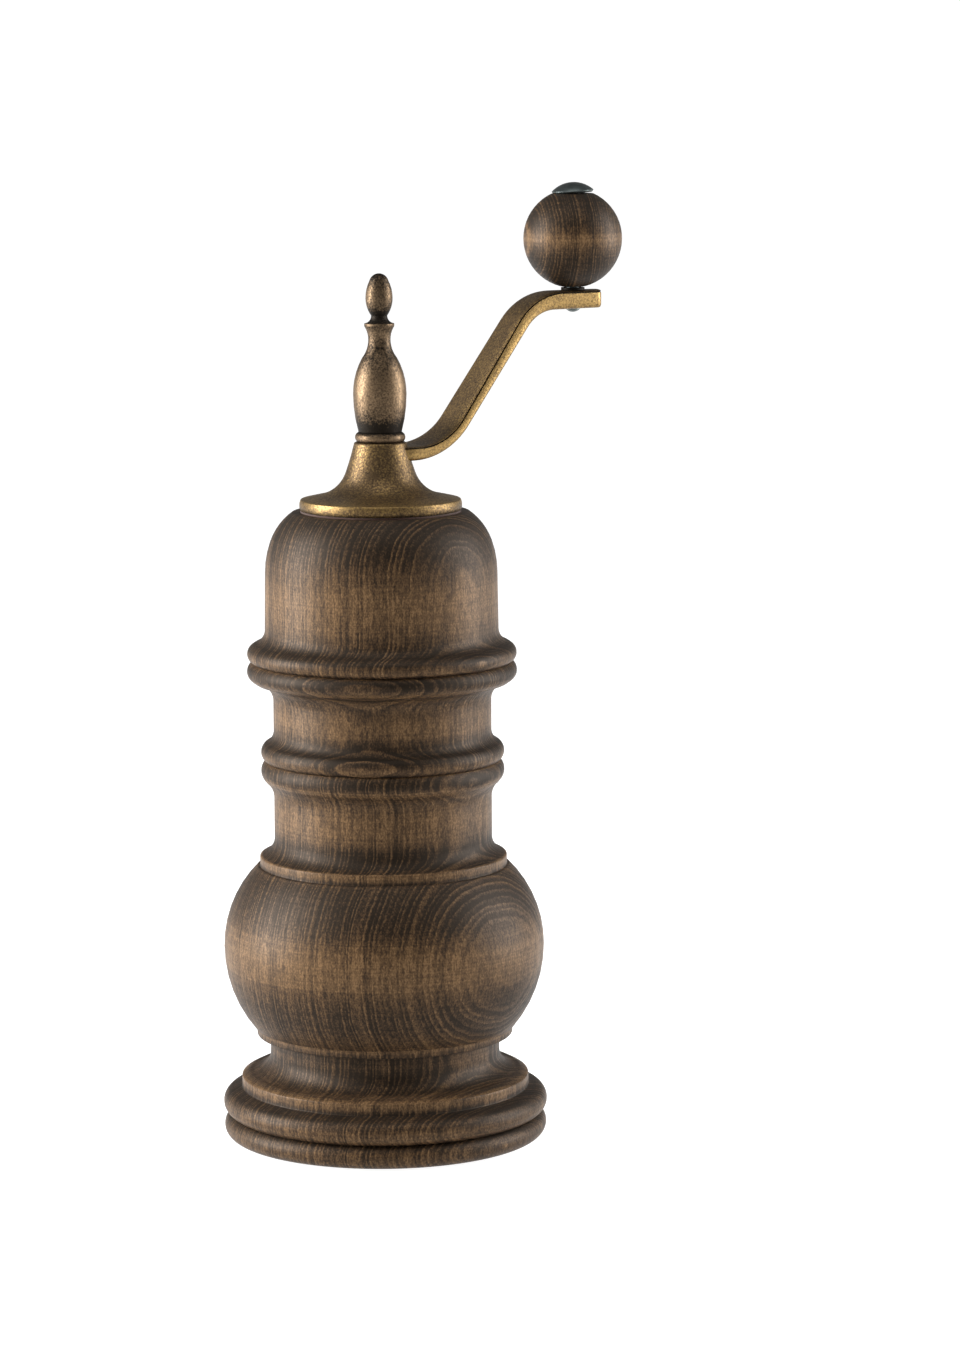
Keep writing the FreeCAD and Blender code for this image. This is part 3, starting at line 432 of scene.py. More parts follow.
def profilePoints(steps, rounding):
    # Each step is (radius, height, how, shades...): how is None for a straight run, and the
    # shades are spaced evenly from the last step's to this one's. A shade runs from light at 0
    # to dark past 1, and paints partly real stain or oxide and partly painted shade and
    # painted highlight.
    spots = [(steps[0][0], steps[0][1], steps[0][-1], True)]
    for last, step in zip(steps, steps[1:]):
        if step[2] is not None:
            run = arcPoints(last, step, step[2])
        else:
            parts = max(1, math.ceil(math.hypot(step[0] - last[0], step[1] - last[1])
                                     / lathe["runLength"]))
            run = [(last[0] + (step[0] - last[0]) * part / parts,
                    last[1] + (step[1] - last[1]) * part / parts)
                   for part in range(1, parts + 1)]
        shades = (last[-1],) + tuple(step[3:])
        for index, spot in enumerate(run):
            reach = (index + 1) / len(run) * (len(shades) - 1)
            low = min(int(reach), len(shades) - 2)
            shade = shades[low] + (shades[low + 1] - shades[low]) * (reach - low)
            spots.append((*spot, shade, index == len(run) - 1))
    return roundCorners(spots, rounding)


def roundCorners(spots, rounding):
    made = [spots[0][:3]]
    for before, spot, after in zip(spots, spots[1:], spots[2:]):
        into = Vector((spot[0] - before[0], spot[1] - before[1]))
        out = Vector((after[0] - spot[0], after[1] - spot[1]))
        crisp = spot[3] and into.length > 1e-6 and out.length > 1e-6 and math.degrees(
            into.angle(out)) > lathe["cornerAngle"]
        if not crisp:
            made.append(spot[:3])
            continue
        cut = min(rounding, into.length * lathe["cornerShare"],
                  out.length * lathe["cornerShare"])
        here = Vector(spot[:2])
        enter, leave = here - into.normalized() * cut, here + out.normalized() * cut
        for share in (0.0, 0.25, 0.5, 0.75, 1.0):
            bend = (enter * (1 - share) ** 2 + here * 2 * share * (1 - share)
                    + leave * share ** 2)
            made.append((bend.x, bend.y, spot[2]))
    made.append(spots[-1][:3])
    return made


def newTree(name, values):
    # Every tree takes a geometry, some values and a material, and gives a geometry.
    tree = bpy.data.node_groups.new(name, "GeometryNodeTree")
    for socket, kind in (("Geometry", "Geometry"), *values, ("Material", "Material")):
        tree.interface.new_socket(socket, in_out="INPUT", socket_type="NodeSocket" + kind)
    tree.interface.new_socket("Geometry", in_out="OUTPUT", socket_type="NodeSocketGeometry")
    return tree, addNode(tree, "NodeGroupInput").outputs


def closeTree(tree, geometry, material):
    real = addNode(tree, "GeometryNodeRealizeInstances", {"Geometry": geometry})
    painted = addNode(tree, "GeometryNodeSetMaterial", {"Geometry": real.outputs[0],
                                                        "Material": material})
    addNode(tree, "NodeGroupOutput", {"Geometry": painted.outputs[0]})
    return tree


def latheTree():
    # Turns a profile in the XZ plane, given as a line of points, into a closed round piece.
    tree, given = newTree("latheTurning", [("Segments", "Int")])
    profile, segments = given["Geometry"], given["Segments"]
    count = addNode(tree, "GeometryNodeAttributeDomainSize", {"Geometry": profile})
    columns = addNode(tree, "ShaderNodeMath", {0: segments, 1: 1.0}, operation="ADD")
    grid = addNode(tree, "GeometryNodeMeshGrid", {
        "Size X": 1.0, "Size Y": 1.0, "Vertices X": columns.outputs[0],
        "Vertices Y": count.outputs["Point Count"]})
    index = addNode(tree, "GeometryNodeInputIndex").outputs[0]
    row = addNode(tree, "ShaderNodeMath", {0: index, 1: count.outputs["Point Count"]},
                  operation="MODULO")
    share = addNode(tree, "ShaderNodeMath", {0: index, 1: count.outputs["Point Count"]},
                    operation="DIVIDE")
    column = addNode(tree, "ShaderNodeMath", {0: share.outputs[0]}, operation="FLOOR")
    turn = addNode(tree, "ShaderNodeMath", {0: column.outputs[0], 1: segments},
                   operation="DIVIDE")
    angle = addNode(tree, "ShaderNodeMath", {0: turn.outputs[0], 1: 2 * math.pi},
                    operation="MULTIPLY")
    place = addNode(tree, "GeometryNodeInputPosition").outputs[0]
    spot = addNode(tree, "GeometryNodeSampleIndex", {"Geometry": profile, "Value": place,
                                                     "Index": row.outputs[0]},
                   data_type="FLOAT_VECTOR", domain="POINT")
    shade = addNode(tree, "GeometryNodeInputNamedAttribute", {"Name": "shade"},
                    data_type="FLOAT")
    tone = addNode(tree, "GeometryNodeSampleIndex", {"Geometry": profile,
                                                     "Value": shade.outputs["Attribute"],
                                                     "Index": row.outputs[0]},
                   data_type="FLOAT", domain="POINT")
    turned = addNode(tree, "ShaderNodeVectorRotate", {
        "Vector": spot.outputs[0], "Axis": (0, 0, 1), "Angle": angle.outputs[0]},
        rotation_type="AXIS_ANGLE")
    toned = addNode(tree, "GeometryNodeStoreNamedAttribute", {
        "Geometry": grid.outputs["Mesh"], "Name": "shade", "Value": tone.outputs[0]},
        data_type="FLOAT", domain="POINT")
    moved = addNode(tree, "GeometryNodeSetPosition", {"Geometry": toned.outputs[0],
                                                      "Position": turned.outputs[0]})
    joined = addNode(tree, "GeometryNodeMergeByDistance", {"Geometry": moved.outputs[0],
                                                           "Distance": lathe["weld"]})
    smooth = addNode(tree, "GeometryNodeSetShadeSmooth", {"Geometry": joined.outputs[0]})
    return closeTree(tree, smooth.outputs[0], given["Material"])


def applyTree(source, tree, values):
    # Runs the tree on the source and returns its result as a plain mesh.
    bpy.context.scene.collection.objects.link(source)
    modifier = source.modifiers.new(tree.name, "NODES")
    modifier.node_group = tree
    for socket in tree.interface.items_tree:
        if socket.in_out == "INPUT" and socket.name in values:
            modifier[socket.identifier] = values[socket.name]
    graph = bpy.context.evaluated_depsgraph_get()
    mesh = bpy.data.meshes.new_from_object(source.evaluated_get(graph))
    source.modifiers.clear()
    bpy.data.objects.remove(source)
    return mesh


def newPiece(name, mesh, body, nodes, sharpAngle=40.0):
    mesh.name = name
    mesh.set_sharp_from_angle(angle=math.radians(sharpAngle))
    piece = bpy.data.objects.new(name, mesh)
    bpy.context.scene.collection.objects.link(piece)
    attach(piece, body)
    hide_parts(*nodes)


turning = latheTree()


def turnedMesh(steps, material, height=0.0, centre=(0.0, 0.0), segments=None, rounding=None):
    points = profilePoints(steps, lathe["rounding"] if rounding is None else rounding)
    line = bpy.data.meshes.new("profile")
    line.from_pydata([(radius * mm, 0, z * mm) for radius, z, shade in points],
                     [(index, index + 1) for index in range(len(points) - 1)], [])
    shades = line.attributes.new("shade", "FLOAT", "POINT")
    shades.data.foreach_set("value", [point[2] for point in points])
    source = bpy.data.objects.new("profile", line)
    mesh = applyTree(source, turning, {"Segments": segments or lathe["segments"],
                                       "Material": material})
    mesh.transform(Matrix.Translation((centre[0] * mm, centre[1] * mm, height * mm)))
    return outward(mesh, material)


def outward(mesh, material):
    # Turns the faces out, closes what the merge left, and keeps the one material.
    mesh.materials.clear()
    mesh.materials.append(material)
    work = bmesh.new()
    work.from_mesh(mesh)
    for face in work.faces:
        face.material_index = 0
    bmesh.ops.dissolve_degenerate(work, dist=1e-7, edges=work.edges)
    if work.calc_volume(signed=True) < 0:
        bmesh.ops.reverse_faces(work, faces=work.faces)
    work.to_mesh(mesh)
    work.free()
    return mesh


def levelOf(node, corner=0):
    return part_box(node)[corner][2] / mm


basePiece = {
    "grain": {"heart": (50.0, 320.0), "spacing": 1.4},
    # The shades are partly sprayed stain and partly painted shade: bead tops, hollows and joints
    # painted dark, bellies and lips painted light.
    "profile": [
        (0.0, 1.6, None, 0.5), (42.3, 1.6, None, 0.5), (42.3, 0.6, None, 0.6),
        (46.2, 0.6, None, 0.6),
        (46.2, 7.5, 148, 0.40, 0.55, 1.05),                 # lower bead
        (46.2, 15.0, 148, 0.30, 0.35, 0.75, 1.05),          # upper bead
        (43.4, 15.8, None, 1.1), (43.4, 19.2, None, 0.20, 0.15), (41.0, 20.4, None, 0.60),
        (34.65, 26.4, "in", 0.85, 1.05), (34.65, 31.9, None, 0.65, 0.85, 1.15),
        (38.65, 31.9, None, 0.8), (38.65, 34.2, None, 0.10, 0.10), (39.25, 34.2, None, 0.5),
        (48.3, 59.0, "out", 0.60, 0.85, 0.70, 0.20, 0.05),  # belly
        (37.9, 83.5, "out", 0.10, 0.65, 0.95, 1.0, 0.75),
        (37.2, 83.5, None, 0.9), (37.2, 86.5, None, 0.15, 0.10), (36.4, 86.9, None, 0.85),
        (32.75, 92.0, "in", 1.1, 1.0), (32.75, 104.2, None, 0.30, 0.15, 0.15, 0.30),
        (35.1, 109.1, "in", 0.45, 0.60), (35.4, 109.5, None, 0.20),
        (35.2, 115.4, 92, 0.20, 0.95, 1.05, 0.95, 0.35),    # lip
        (29.0, 115.4, None, 0.4), (29.0, 103.9, None, 0.5), (25.5, 103.9, None, 0.5),
        (25.5, 29.0, None, 0.4), (18.5, 22.0, -90, 0.5), (0.0, 22.0, None, 0.5)],
}


def makeBase(settings):
    wood = stainedBeech("stainedBeechBase", beech, settings["grain"])
    mesh = turnedMesh(settings["profile"], wood)
    newPiece("turned_base", mesh, "base", ["base_body"])


makeBase(basePiece)

feltPiece = {"radius": 41.9, "thickness": 1.55, "softEdge": 0.5}


def makeFelt(settings):
    radius, thick, soft = settings["radius"], settings["thickness"], settings["softEdge"]
    steps = [(0.0, 0.0, None, 0.0), (radius - soft, 0.0, None, 0.0), (radius, soft, 70, 0.0),
             (radius, thick - soft, None, 0.0), (radius - soft, thick, 70, 0.0),
             (0.0, thick, None, 0.0)]
    mesh = turnedMesh(steps, greenFelt)
    newPiece("foot_felt", mesh, "base", ["felt_pad"])


makeFelt(feltPiece)
print("base turned")

barrelPiece = {
    "grain": {"heart": (-8.0, 300.0), "spacing": 1.5},
    # The shades are partly sprayed stain and partly painted shade: bead tops, hollows and joints
    # painted dark, bellies and lips painted light.
    "profile": [
        (24.0, -7.4, None, 0.5), (28.95, -7.4, None, 0.4), (28.95, 0.0, None, 0.5),
        (35.2, 0.0, None, 1.1),
        (35.5, 5.0, 100, 0.25, 0.45, 1.0, 1.05), (35.1, 5.3, None, 1.1),
        (32.7, 9.0, "in", 1.0, 0.75), (32.7, 18.1, None, 0.20, 0.15, 0.20, 0.40),
        (38.1, 23.7, "in", 0.55, 0.60), (38.4, 24.1, None, 0.20),
        (38.8, 29.8, 132, 0.20, 0.80, 1.10, 0.95, 0.35), (30.95, 29.8, None, 0.5),
        (30.95, 37.2, None, 0.4), (27.0, 37.2, None, 0.4), (27.0, 11.0, None, 0.4),
        (24.0, 7.2, None, 0.4), (24.0, -7.4, None, 0.5)],
}


def makeBarrel(settings):
    wood = stainedBeech("stainedBeechBarrel", beech, settings["grain"])
    mesh = turnedMesh(settings["profile"], wood, levelOf("base_body", 1))
    newPiece("turned_barrel", mesh, "barrel", ["barrel"])


makeBarrel(barrelPiece)
print("barrel turned")

headPiece = {
    "grain": {"heart": (44.0, 280.0), "spacing": 1.35},
    # The shades are partly sprayed stain and partly painted shade: the dome's top, the bead and
    # the joint painted dark, the wall painted light.
    "profile": [
        (31.0, 0.0, None, 0.5), (38.8, 0.0, None, 1.1),
        (38.7, 5.1, 130, 0.30, 0.45, 0.95, 1.05), (38.3, 5.4, None, 1.1),
        (35.0, 9.8, "in", 0.95, 0.50), (34.75, 26.8, None, 0.22, 0.10, 0.12, 0.35),
        (33.1, 36.2, "out", 0.60, 0.90), (26.4, 45.0, 35.6, 1.0, 1.05, 1.1),
        (6.5, 45.0, None, 0.9), (6.5, 34.0, None, 0.5), (21.5, 34.0, None, 0.5),
        (29.5, 26.0, -90, 0.5), (29.5, 11.3, None, 0.5), (31.0, 11.3, None, 0.5),
        (31.0, 0.0, None, 0.5)],
}


def makeHead(settings):
    wood = stainedBeech("stainedBeechHead", beech, settings["grain"])
    mesh = turnedMesh(settings["profile"], wood, levelOf("head_dome"))
    newPiece("turned_head", mesh, "head", ["head_dome"])


makeHead(headPiece)
print("head turned")

bellPiece = {
    # The shades paint a highlight on the rim and shade on the slope, in the hub's bore and on the
    # underside.
    "profile": [
        (4.05, 1.2, None, 1.0), (7.2, 1.2, None, 1.0), (7.2, 8.3, None, 1.0),
        (9.25, 8.7, None, 1.0), (17.0, 2.1, 50, 1.0), (22.4, 1.2, None, 1.0),
        (22.4, 0.0, None, 0.8), (24.0, 0.0, None, 0.6),
        (23.9, 3.2, 50, 0.15), (18.0, 4.5, None, 0.45), (10.45, 11.1, -58, 0.55),
        (7.9, 19.6, -6, 0.40), (7.2, 20.3, 80, 0.5), (4.05, 20.3, None, 1.0),
        (4.05, 1.2, None, 1.0)],
}

armPiece = {
    "root": 4.2, "levelEnd": 9.8, "end": 76.5,
    "drop": 1.3,               # under the hub's top
    "rise": 63.0,              # of the tip over the bell's rim
    "slope": 54.0, "rootBend": 18.5, "tipBend": 20.1,
    "rootThickness": 4.3, "waist": 3.5, "shoulder": 4.3, "tipThickness": 5.5,
    "rootWidth": 15.5, "tipWidth": 8.3, "corner": 2.0,
    "rootTuck": 0.9,           # narrower where it grows out of the hub
    "groove": 0.42,            # the crease under each top edge, which its shade paints dark as painted shade
    "tuckLength": 4.0,
    "samples": 14, "rootSamples": 5, "tipSamples": 6,
}


def straight(start, end, samples):
    return [(start[0] + (end[0] - start[0]) * step / samples,
             start[1] + (end[1] - start[1]) * step / samples) for step in range(1, samples + 1)]


def armRails(arm, hubHeight):
    # The arm's top and underside as two lines of paired points, in its own side plane.
    slope = math.radians(arm["slope"])
    sine, cosine = math.sin(slope), math.cos(slope)
    level = hubHeight - arm["drop"]
    low = (arm["levelEnd"] + arm["rootBend"] * sine, level + arm["rootBend"] * (1 - cosine))
    highZ = arm["rise"] - arm["tipBend"] * (1 - cosine)
    high = (low[0] + (highZ - low[1]) / math.tan(slope), highZ)
    tip = (high[0] + arm["tipBend"] * sine, arm["rise"])
    underLow = (low[0] + arm["waist"] * sine, low[1] - arm["waist"] * cosine)
    underHigh = (high[0] + arm["shoulder"] * sine, high[1] - arm["shoulder"] * cosine)
    rootFoot, tipFoot = level - arm["rootThickness"], arm["rise"] - arm["tipThickness"]
    underRoot = (underLow[0] - (underLow[1] - rootFoot) / math.tan(slope / 2), rootFoot)
    underTip = (underHigh[0] + (tipFoot - underHigh[1]) / math.tan(slope / 2), tipFoot)
    rails = []
    for root, bendStart, bendEnd, topStart, topEnd, end in (
            ((arm["root"], level), (arm["levelEnd"], level), low, high, tip,
             (arm["end"], arm["rise"])),
            ((arm["root"], rootFoot), underRoot, underLow, underHigh, underTip,
             (arm["end"], tipFoot))):
        count = arm["samples"]
        rail = [root] + straight(root, bendStart, arm["rootSamples"])
        rail += bendPoints(bendStart, bendEnd, slope, count)
        rail += straight(bendEnd, topStart, count)
        rail += bendPoints(topStart, topEnd, -slope, count)
        ends = arm["tipSamples"]
        rail += straight(topEnd, (end[0] - arm["corner"], end[1]), ends)
        for step in range(1, ends + 1):
            share = math.sin(math.pi / 2 * step / ends)
            rail.append((end[0] - arm["corner"] * (1 - share), end[1]))
        rails.append(rail)
    return rails


def armHalfWidth(arm, x):
    share = (x - arm["root"] + 1) / (arm["end"] - arm["root"] - 1)
    half = (arm["rootWidth"] + (arm["tipWidth"] - arm["rootWidth"]) * min(share, 1)) / 2
    half -= arm["rootTuck"] * max(0.0, 1 - (x - arm["root"]) / arm["tuckLength"]) ** 2
    over = x - (arm["end"] - arm["corner"])
    if over > 0:
        half -= arm["corner"] - math.sqrt(max(arm["corner"] ** 2 - over ** 2, 0))
    return half


def armSection(arm, half, thick):
    # Half of the section: (across, up, shade) from the middle of the underside to the top.
    # The shade is painted: the top a little darker than the lit side, and a dark painted shade
    # line in the crease.
    groove = arm["groove"]
    flat = max(half - 1.1, 0.1)
    return [
        (flat * 0.5, 0.0, 0.25), (flat, 0.0, 0.2), (half - 0.35, 0.3, 0.1), (half, 1.0, 0.0),
        (half, thick * 0.5, 0.0), (half, thick - 1.2, 0.0), (half - 0.06, thick - 0.85, 0.05),
        (half - groove, thick - 0.72, 1.6), (half - groove, thick - 0.56, 1.6),
        (half - 0.12, thick - 0.42, 0.3), (half - 0.5, thick - 0.2, 0.35),
        (half * 0.72, thick - 0.1, 0.42), (half * 0.36, thick - 0.02, 0.45)]


def armMesh(arm, hubHeight):
    top, under = armRails(arm, hubHeight)
    work = bmesh.new()
    tone = work.verts.layers.float.new("shade")
    rings = []
    for (topX, topZ), (underX, underZ) in zip(top, under):
        up = Vector((topX - underX, 0, topZ - underZ))
        thick = up.length
        up.normalize()
        half = armHalfWidth(arm, (topX + underX) / 2)
        outline = armSection(arm, half, thick)
        whole = ([(0.0, 0.0, 0.25)] + outline + [(0.0, thick, 0.45)]
                 + [(-across, rise, shade) for across, rise, shade in reversed(outline)])
        ring = []
        for across, rise, shade in whole:
            spot = Vector((underX, across, underZ)) + up * rise
            vertex = work.verts.new(spot * mm)
            vertex[tone] = shade
            ring.append(vertex)
        rings.append(ring)
    for ring, follower in zip(rings, rings[1:]):
        for index in range(len(ring)):
            after = (index + 1) % len(ring)
            work.faces.new((ring[index], ring[after], follower[after], follower[index]))
    work.faces.new(list(reversed(rings[0])))
    work.faces.new(rings[-1])
    bmesh.ops.recalc_face_normals(work, faces=work.faces)
    for face in work.faces:
        face.smooth = True
    mesh = bpy.data.meshes.new("arm")
    work.to_mesh(mesh)
    work.free()
    mesh.materials.append(castBronze)
    return mesh


def makeCrank(bell, arm):
    height = levelOf("crank_casting")
    mesh = turnedMesh(bell["profile"], castBronze, segments=180)
    work = bmesh.new()
    work.from_mesh(mesh)
    work.from_mesh(armMesh(arm, bell["profile"][-2][1]))
    work.to_mesh(mesh)
    work.free()
    mesh.transform(Matrix.Translation((0, 0, height * mm)))
    newPiece("bell_and_arm", mesh, "crank", ["crank_casting"], 45.0)


makeCrank(bellPiece, armPiece)
print("crank cast")

finialPiece = {
    # The shades paint a highlight along the collar's foot and the vase's belly, and shade on the
    # collar's top, at the vase's foot and in its necks.
    "collar": [
        (3.05, 0.0, None, 0.8), (6.7, 0.0, None, 0.7), (6.7, 2.8, 120, 0.1, 0.2, 0.8),
        (6.5, 3.0, None, 1.2), (3.05, 3.0, None, 0.8), (3.05, 0.0, None, 0.8)],
    "body": [
        (3.05, 0.0, None, 0.8), (6.45, 0.0, None, 1.3), (7.97, 11.3, "out", 0.6, 0.2, 0.05),
        (5.2, 22.0, "out", 0.1, 0.5), (3.32, 27.4, "in", 0.6, 0.4),
        (4.48, 31.4, "in", 0.3, 0.4), (4.48, 32.2, None, 0.2), (2.4, 34.5, "in", 1.2, 1.3),
        (4.04, 39.7, "out", 0.5, 0.2), (2.8, 44.9, "out", 0.3, 0.6), (0.0, 47.0, "crown", 0.9),
        (0.0, 8.8, None, 0.8), (3.05, 8.8, None, 0.8), (3.05, 0.0, None, 0.8)],
}


def makeFinial(settings):
    collar = turnedMesh(settings["collar"], finialBronze, levelOf("finial_collar"),
                        segments=120, rounding=0.15)
    newPiece("collar_ring", collar, "finial_washer", ["finial_collar"])
    body = turnedMesh(settings["body"], finialBronze, levelOf("finial"), segments=120,
                      rounding=0.15)
    newPiece("turned_finial", body, "finial", ["finial"])


makeFinial(finialPiece)
print("finial turned")

knobPiece = {
    "crankRadius": 68.0,
    "grain": {"heart": (98.0, 300.0), "spacing": 0.85},
    # The ball's shades paint a light band round its middle and a darker top and bottom, partly
    # stain and partly painted shade and light.
    "ball": [
        (2.15, 1.1, None, 0.8), (3.8, 1.1, None, 1.2),
        (15.0, 15.6, "out", 1.15, 1.0, 0.85, 0.05), (6.29, 29.2, "out", 0.80, 0.95, 1.05, 1.15),
        (2.15, 29.2, None, 0.9), (2.15, 1.1, None, 0.8)],
    "rivet": [
        (0.0, -6.7, None, 0.3), (2.05, -5.9, "crown", 0.3), (2.05, 29.35, None, 0.6),
        (6.0, 29.4, None, 0.8), (6.4, 30.0, None, 0.2), (0.0, 32.6, "crown", 0.2)],
    "capLean": 3.0,            # degrees, its left side low
    "capPivot": 29.8, "capFoot": 29.2,
    "washer": [(2.07, 0.0, None, 0.5), (3.6, 0.0, None, 0.5), (3.6, 0.8, None, 0.5),
               (2.07, 0.8, None, 0.5), (2.07, 0.0, None, 0.5)],
}


def makeKnob(settings):
    level = levelOf("crank_casting") + armPiece["rise"]
    centre = (settings["crankRadius"], 0.0)
    wood = stainedBeech("stainedBeechBall", beech, settings["grain"], centre)
    ball = turnedMesh(settings["ball"], wood, level, centre, segments=128)
    newPiece("knob_ball_turned", ball, "knob", ["knob_ball"])
    rivet = turnedMesh(settings["rivet"], gunmetal, level, centre, segments=96, rounding=0.15)
    leanCap(rivet, centre, level, settings)
    newPiece("cap_rivet", rivet, "crank", ["knob_rivet"])
    # The washer's dark steel stands for the shade under the ball.
    washer = turnedMesh(settings["washer"], blackenedShadeSteel, level, centre, segments=96,
                        rounding=0.1)
    newPiece("knob_seat_washer", washer, "crank", ["knob_washer"])


def leanCap(mesh, centre, level, settings):
    azimuth = math.radians(cameraSettings["azimuth"])
    axis = Vector((-math.sin(azimuth), math.cos(azimuth), 0))
    pivot = Vector((centre[0], centre[1], level + settings["capPivot"])) * mm
    turn = Matrix.Rotation(math.radians(-settings["capLean"]), 3, axis)
    for vertex in mesh.vertices:
        if vertex.co.z > (level + settings["capFoot"]) * mm:
            vertex.co = pivot + turn @ (vertex.co - pivot)


makeKnob(knobPiece)
print("knob made")

screwPiece = {
    "radius": 1.18, "tip": 2.4, "head": 2.08, "headHeight": 1.48,
    "slotWidth": 0.55, "slotDepth": 0.8, "bladeLength": 20.0,
    "slotTurn": 1.9,           # radians from one slot to the next
    "rings": [
        # how many, out from the axis, height of the seat, shank, head's share, upside down
        (2, 28.9, 154.1, 7.0, 1.0, False), (3, 26.2, 106.5, 7.0, 1.0, True),
        (3, 22.15, 93.8, 5.0, 0.71, True)],
}


def screwTree():
    # Cuts a slot in one screw's head and stands copies of it in a ring round the axis.
    tree, given = newTree("screwRing", [
        ("Count", "Int"), ("Ring Radius", "Float"), ("Seat Height", "Float"),
        ("Head Top", "Float"), ("Slot Width", "Float"), ("Slot Depth", "Float"),
        ("Tilt", "Float")])
    depth = addNode(tree, "ShaderNodeMath", {0: given["Slot Depth"], 1: 2.0},
                    operation="MULTIPLY")
    size = addNode(tree, "ShaderNodeCombineXYZ", {"X": screwPiece["bladeLength"] * mm,
                                                  "Y": given["Slot Width"],
                                                  "Z": depth.outputs[0]})
    blade = addNode(tree, "GeometryNodeMeshCube", {"Size": size.outputs[0]})
    top = addNode(tree, "ShaderNodeCombineXYZ", {"Z": given["Head Top"]})
    raised = addNode(tree, "GeometryNodeTransform", {"Geometry": blade.outputs[0],
                                                     "Translation": top.outputs[0]})
    slotted = addNode(tree, "GeometryNodeMeshBoolean", {
        "Mesh 1": given["Geometry"], "Mesh 2": raised.outputs[0]}, operation="DIFFERENCE",
        solver="EXACT")
    ring = addNode(tree, "GeometryNodeMeshCircle", {"Vertices": given["Count"],
                                                    "Radius": given["Ring Radius"]})
    height = addNode(tree, "ShaderNodeCombineXYZ", {"Z": given["Seat Height"]})
    seats = addNode(tree, "GeometryNodeTransform", {"Geometry": ring.outputs[0],
                                                    "Translation": height.outputs[0]})
    index = addNode(tree, "GeometryNodeInputIndex").outputs[0]
    turn = addNode(tree, "ShaderNodeMath", {0: index, 1: screwPiece["slotTurn"]},
                   operation="MULTIPLY")
    way = addNode(tree, "ShaderNodeCombineXYZ", {"X": given["Tilt"], "Z": turn.outputs[0]})
    placed = addNode(tree, "GeometryNodeInstanceOnPoints", {
        "Points": seats.outputs[0], "Instance": slotted.outputs["Mesh"],
        "Rotation": way.outputs[0]})
    return closeTree(tree, placed.outputs[0], given["Material"])


def makeScrews(settings):
    tree = screwTree()
    work = bmesh.new()
    for count, out, seat, shank, share, upsideDown in settings["rings"]:
        radius, head = settings["radius"] * share, settings["head"] * share
        top = settings["headHeight"]
        steps = [(0.0, -shank, None, 0.5), (radius, -shank + settings["tip"] * share, None, 0.5),
                 (radius, 0.0, None, 0.5), (head, 0.0, None, 0.5), (head, top / 2, None, 0.5),
                 (0.0, top, "crown", 0.5)]
        screw = bpy.data.objects.new("screw", turnedMesh(steps, brightSteel, segments=32,
                                                         rounding=0.08))
        work.from_mesh(applyTree(screw, tree, {
            "Count": count, "Ring Radius": out * mm, "Seat Height": seat * mm,
            "Head Top": top * mm, "Slot Width": settings["slotWidth"] * mm * share,
            "Slot Depth": settings["slotDepth"] * mm, "Tilt": math.pi if upsideDown else 0.0,
            "Material": brightSteel}))
    mesh = bpy.data.meshes.new("screws")
    work.to_mesh(mesh)
    work.free()
    mesh.materials.append(brightSteel)
    nodes = [f"bridge_screw_{number}" for number in (1, 2)]
    nodes += [f"{kind}_screw_{number}" for kind in ("housing", "retainer") for number in (1, 2, 3)]
    newPiece("slotted_screws", mesh, "barrel", nodes, 30.0)


makeScrews(screwPiece)
print("screws slotted")

finishes = {
    "bright_steel": brightSteel, "burr_steel": burrSteel, "bearing_brass": bearingBrass,
    "housing_iron": housingIron, "fibre": fibreBoard, "gunmetal": gunmetal,
}


def finishFrame():
    slots = {part["node"]: part["material_slot"] for part in frame["record"]["subparts"]}
    for name, node in frame["nodes"].items():
        if node.hide_render or slots[name] not in finishes:
            continue
        if not node.material_slots:
            node.data.materials.append(None)
        for holder in node.material_slots:
            holder.material = finishes[slots[name]]


finishFrame()
print("frame pieces finished")

studio = {
    "floorReach": 200.0,        # metres
    "floorGlow": 0.95, "floorShade": 0.3,      # the sheet is lit from behind
    "lights": [
        # name, place in metres, size, watts
        ("leftBox", (-0.88, 0.47, 0.36), (0.5, 1.0), 36.0),
        ("rightBox", (0.92, -0.40, 0.36), (0.5, 1.0), 18.0),
        ("topBox", (-0.2, -0.3, 1.25), (0.9, 0.9), 6.0),
    ],
    "surround": 0.25, "paper": 1.1, "paperEdge": 0.02,
    "mottleScale": 3.0, "mottleDepth": 0.03,
    "aimHeight": 0.14,
}


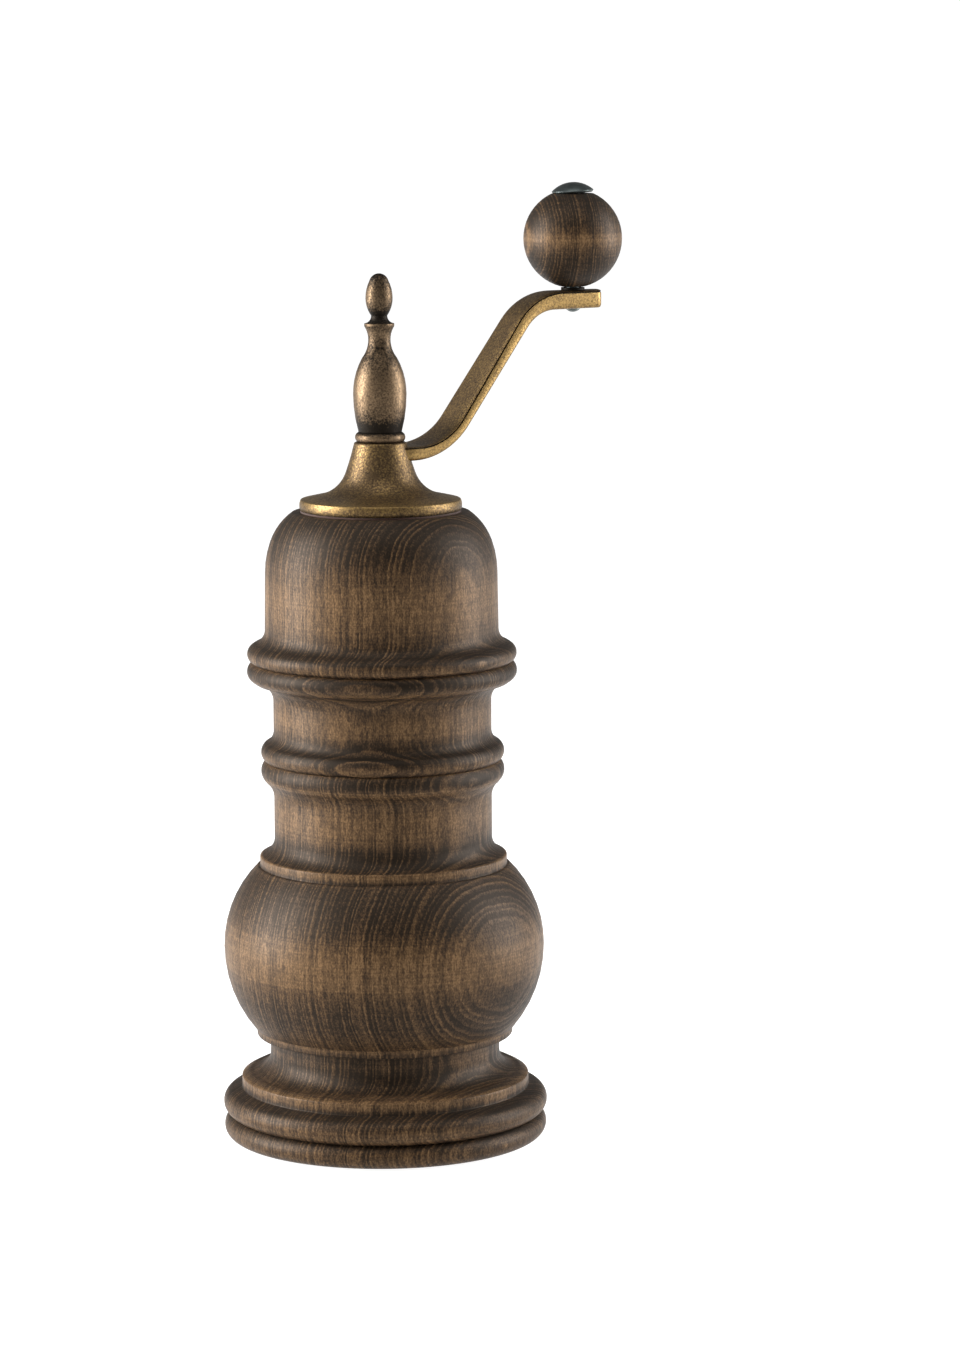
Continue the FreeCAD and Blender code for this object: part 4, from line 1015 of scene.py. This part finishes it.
def makeSurround(settings):
    # White paper stands round the table's far edge, and the room above it is dimmer.
    world = bpy.data.worlds.new("studio")
    world.use_nodes = True
    tree = world.node_tree
    tree.nodes.clear()
    way = addNode(tree, "ShaderNodeTexCoord").outputs["Generated"]
    height = addNode(tree, "ShaderNodeSeparateXYZ", {0: way}).outputs["Z"]
    tone = addNode(tree, "ShaderNodeMapRange", {
        "Value": height, "From Min": settings["paperEdge"], "From Max": settings["paperEdge"] * 3,
        "To Min": settings["paper"], "To Max": settings["surround"]})
    sky = addNode(tree, "ShaderNodeBackground", {"Color": (1, 1, 1, 1),
                                                 "Strength": tone.outputs[0]})
    addNode(tree, "ShaderNodeOutputWorld", {"Surface": sky.outputs[0]})
    bpy.context.scene.world = world


def makeStudio(settings):
    floor = bpy.data.meshes.new("floor")
    reach = settings["floorReach"]
    floor.from_pydata([(-reach, -reach, 0), (reach, -reach, 0), (reach, reach, 0),
                       (-reach, reach, 0)], [], [(0, 1, 2, 3)])
    material, tree, shader, place = newMaterial("palePaper")
    mottle = addNode(tree, "ShaderNodeTexNoise", {"Vector": place,
                                                  "Scale": settings["mottleScale"]})
    tone = addNode(tree, "ShaderNodeMapRange", {"Value": mottle.outputs["Fac"],
                                                "To Min": settings["floorShade"],
                                                "To Max": settings["floorShade"]
                                                + settings["mottleDepth"]})
    tree.links.new(tone.outputs[0], shader.inputs["Base Color"])
    shader.inputs["Roughness"].default_value = 0.9
    shader.inputs["Emission Color"].default_value = (1, 1, 1, 1)
    shader.inputs["Emission Strength"].default_value = settings["floorGlow"]
    floor.materials.append(material)
    sheet = bpy.data.objects.new("floor", floor)
    bpy.context.scene.collection.objects.link(sheet)
    for name, place, size, watts in settings["lights"]:
        data = bpy.data.lights.new(name, "AREA")
        data.shape = "RECTANGLE"
        data.size, data.size_y = size
        data.energy = watts
        lamp = bpy.data.objects.new(name, data)
        lamp.location = place
        aim = Vector((0, 0, settings["aimHeight"])) - Vector(place)
        lamp.rotation_euler = aim.to_track_quat("-Z", "Y").to_euler()
        bpy.context.scene.collection.objects.link(lamp)
    makeSurround(settings)
    bpy.context.scene.view_settings.view_transform = "Standard"


makeStudio(studio)
print("studio lit")
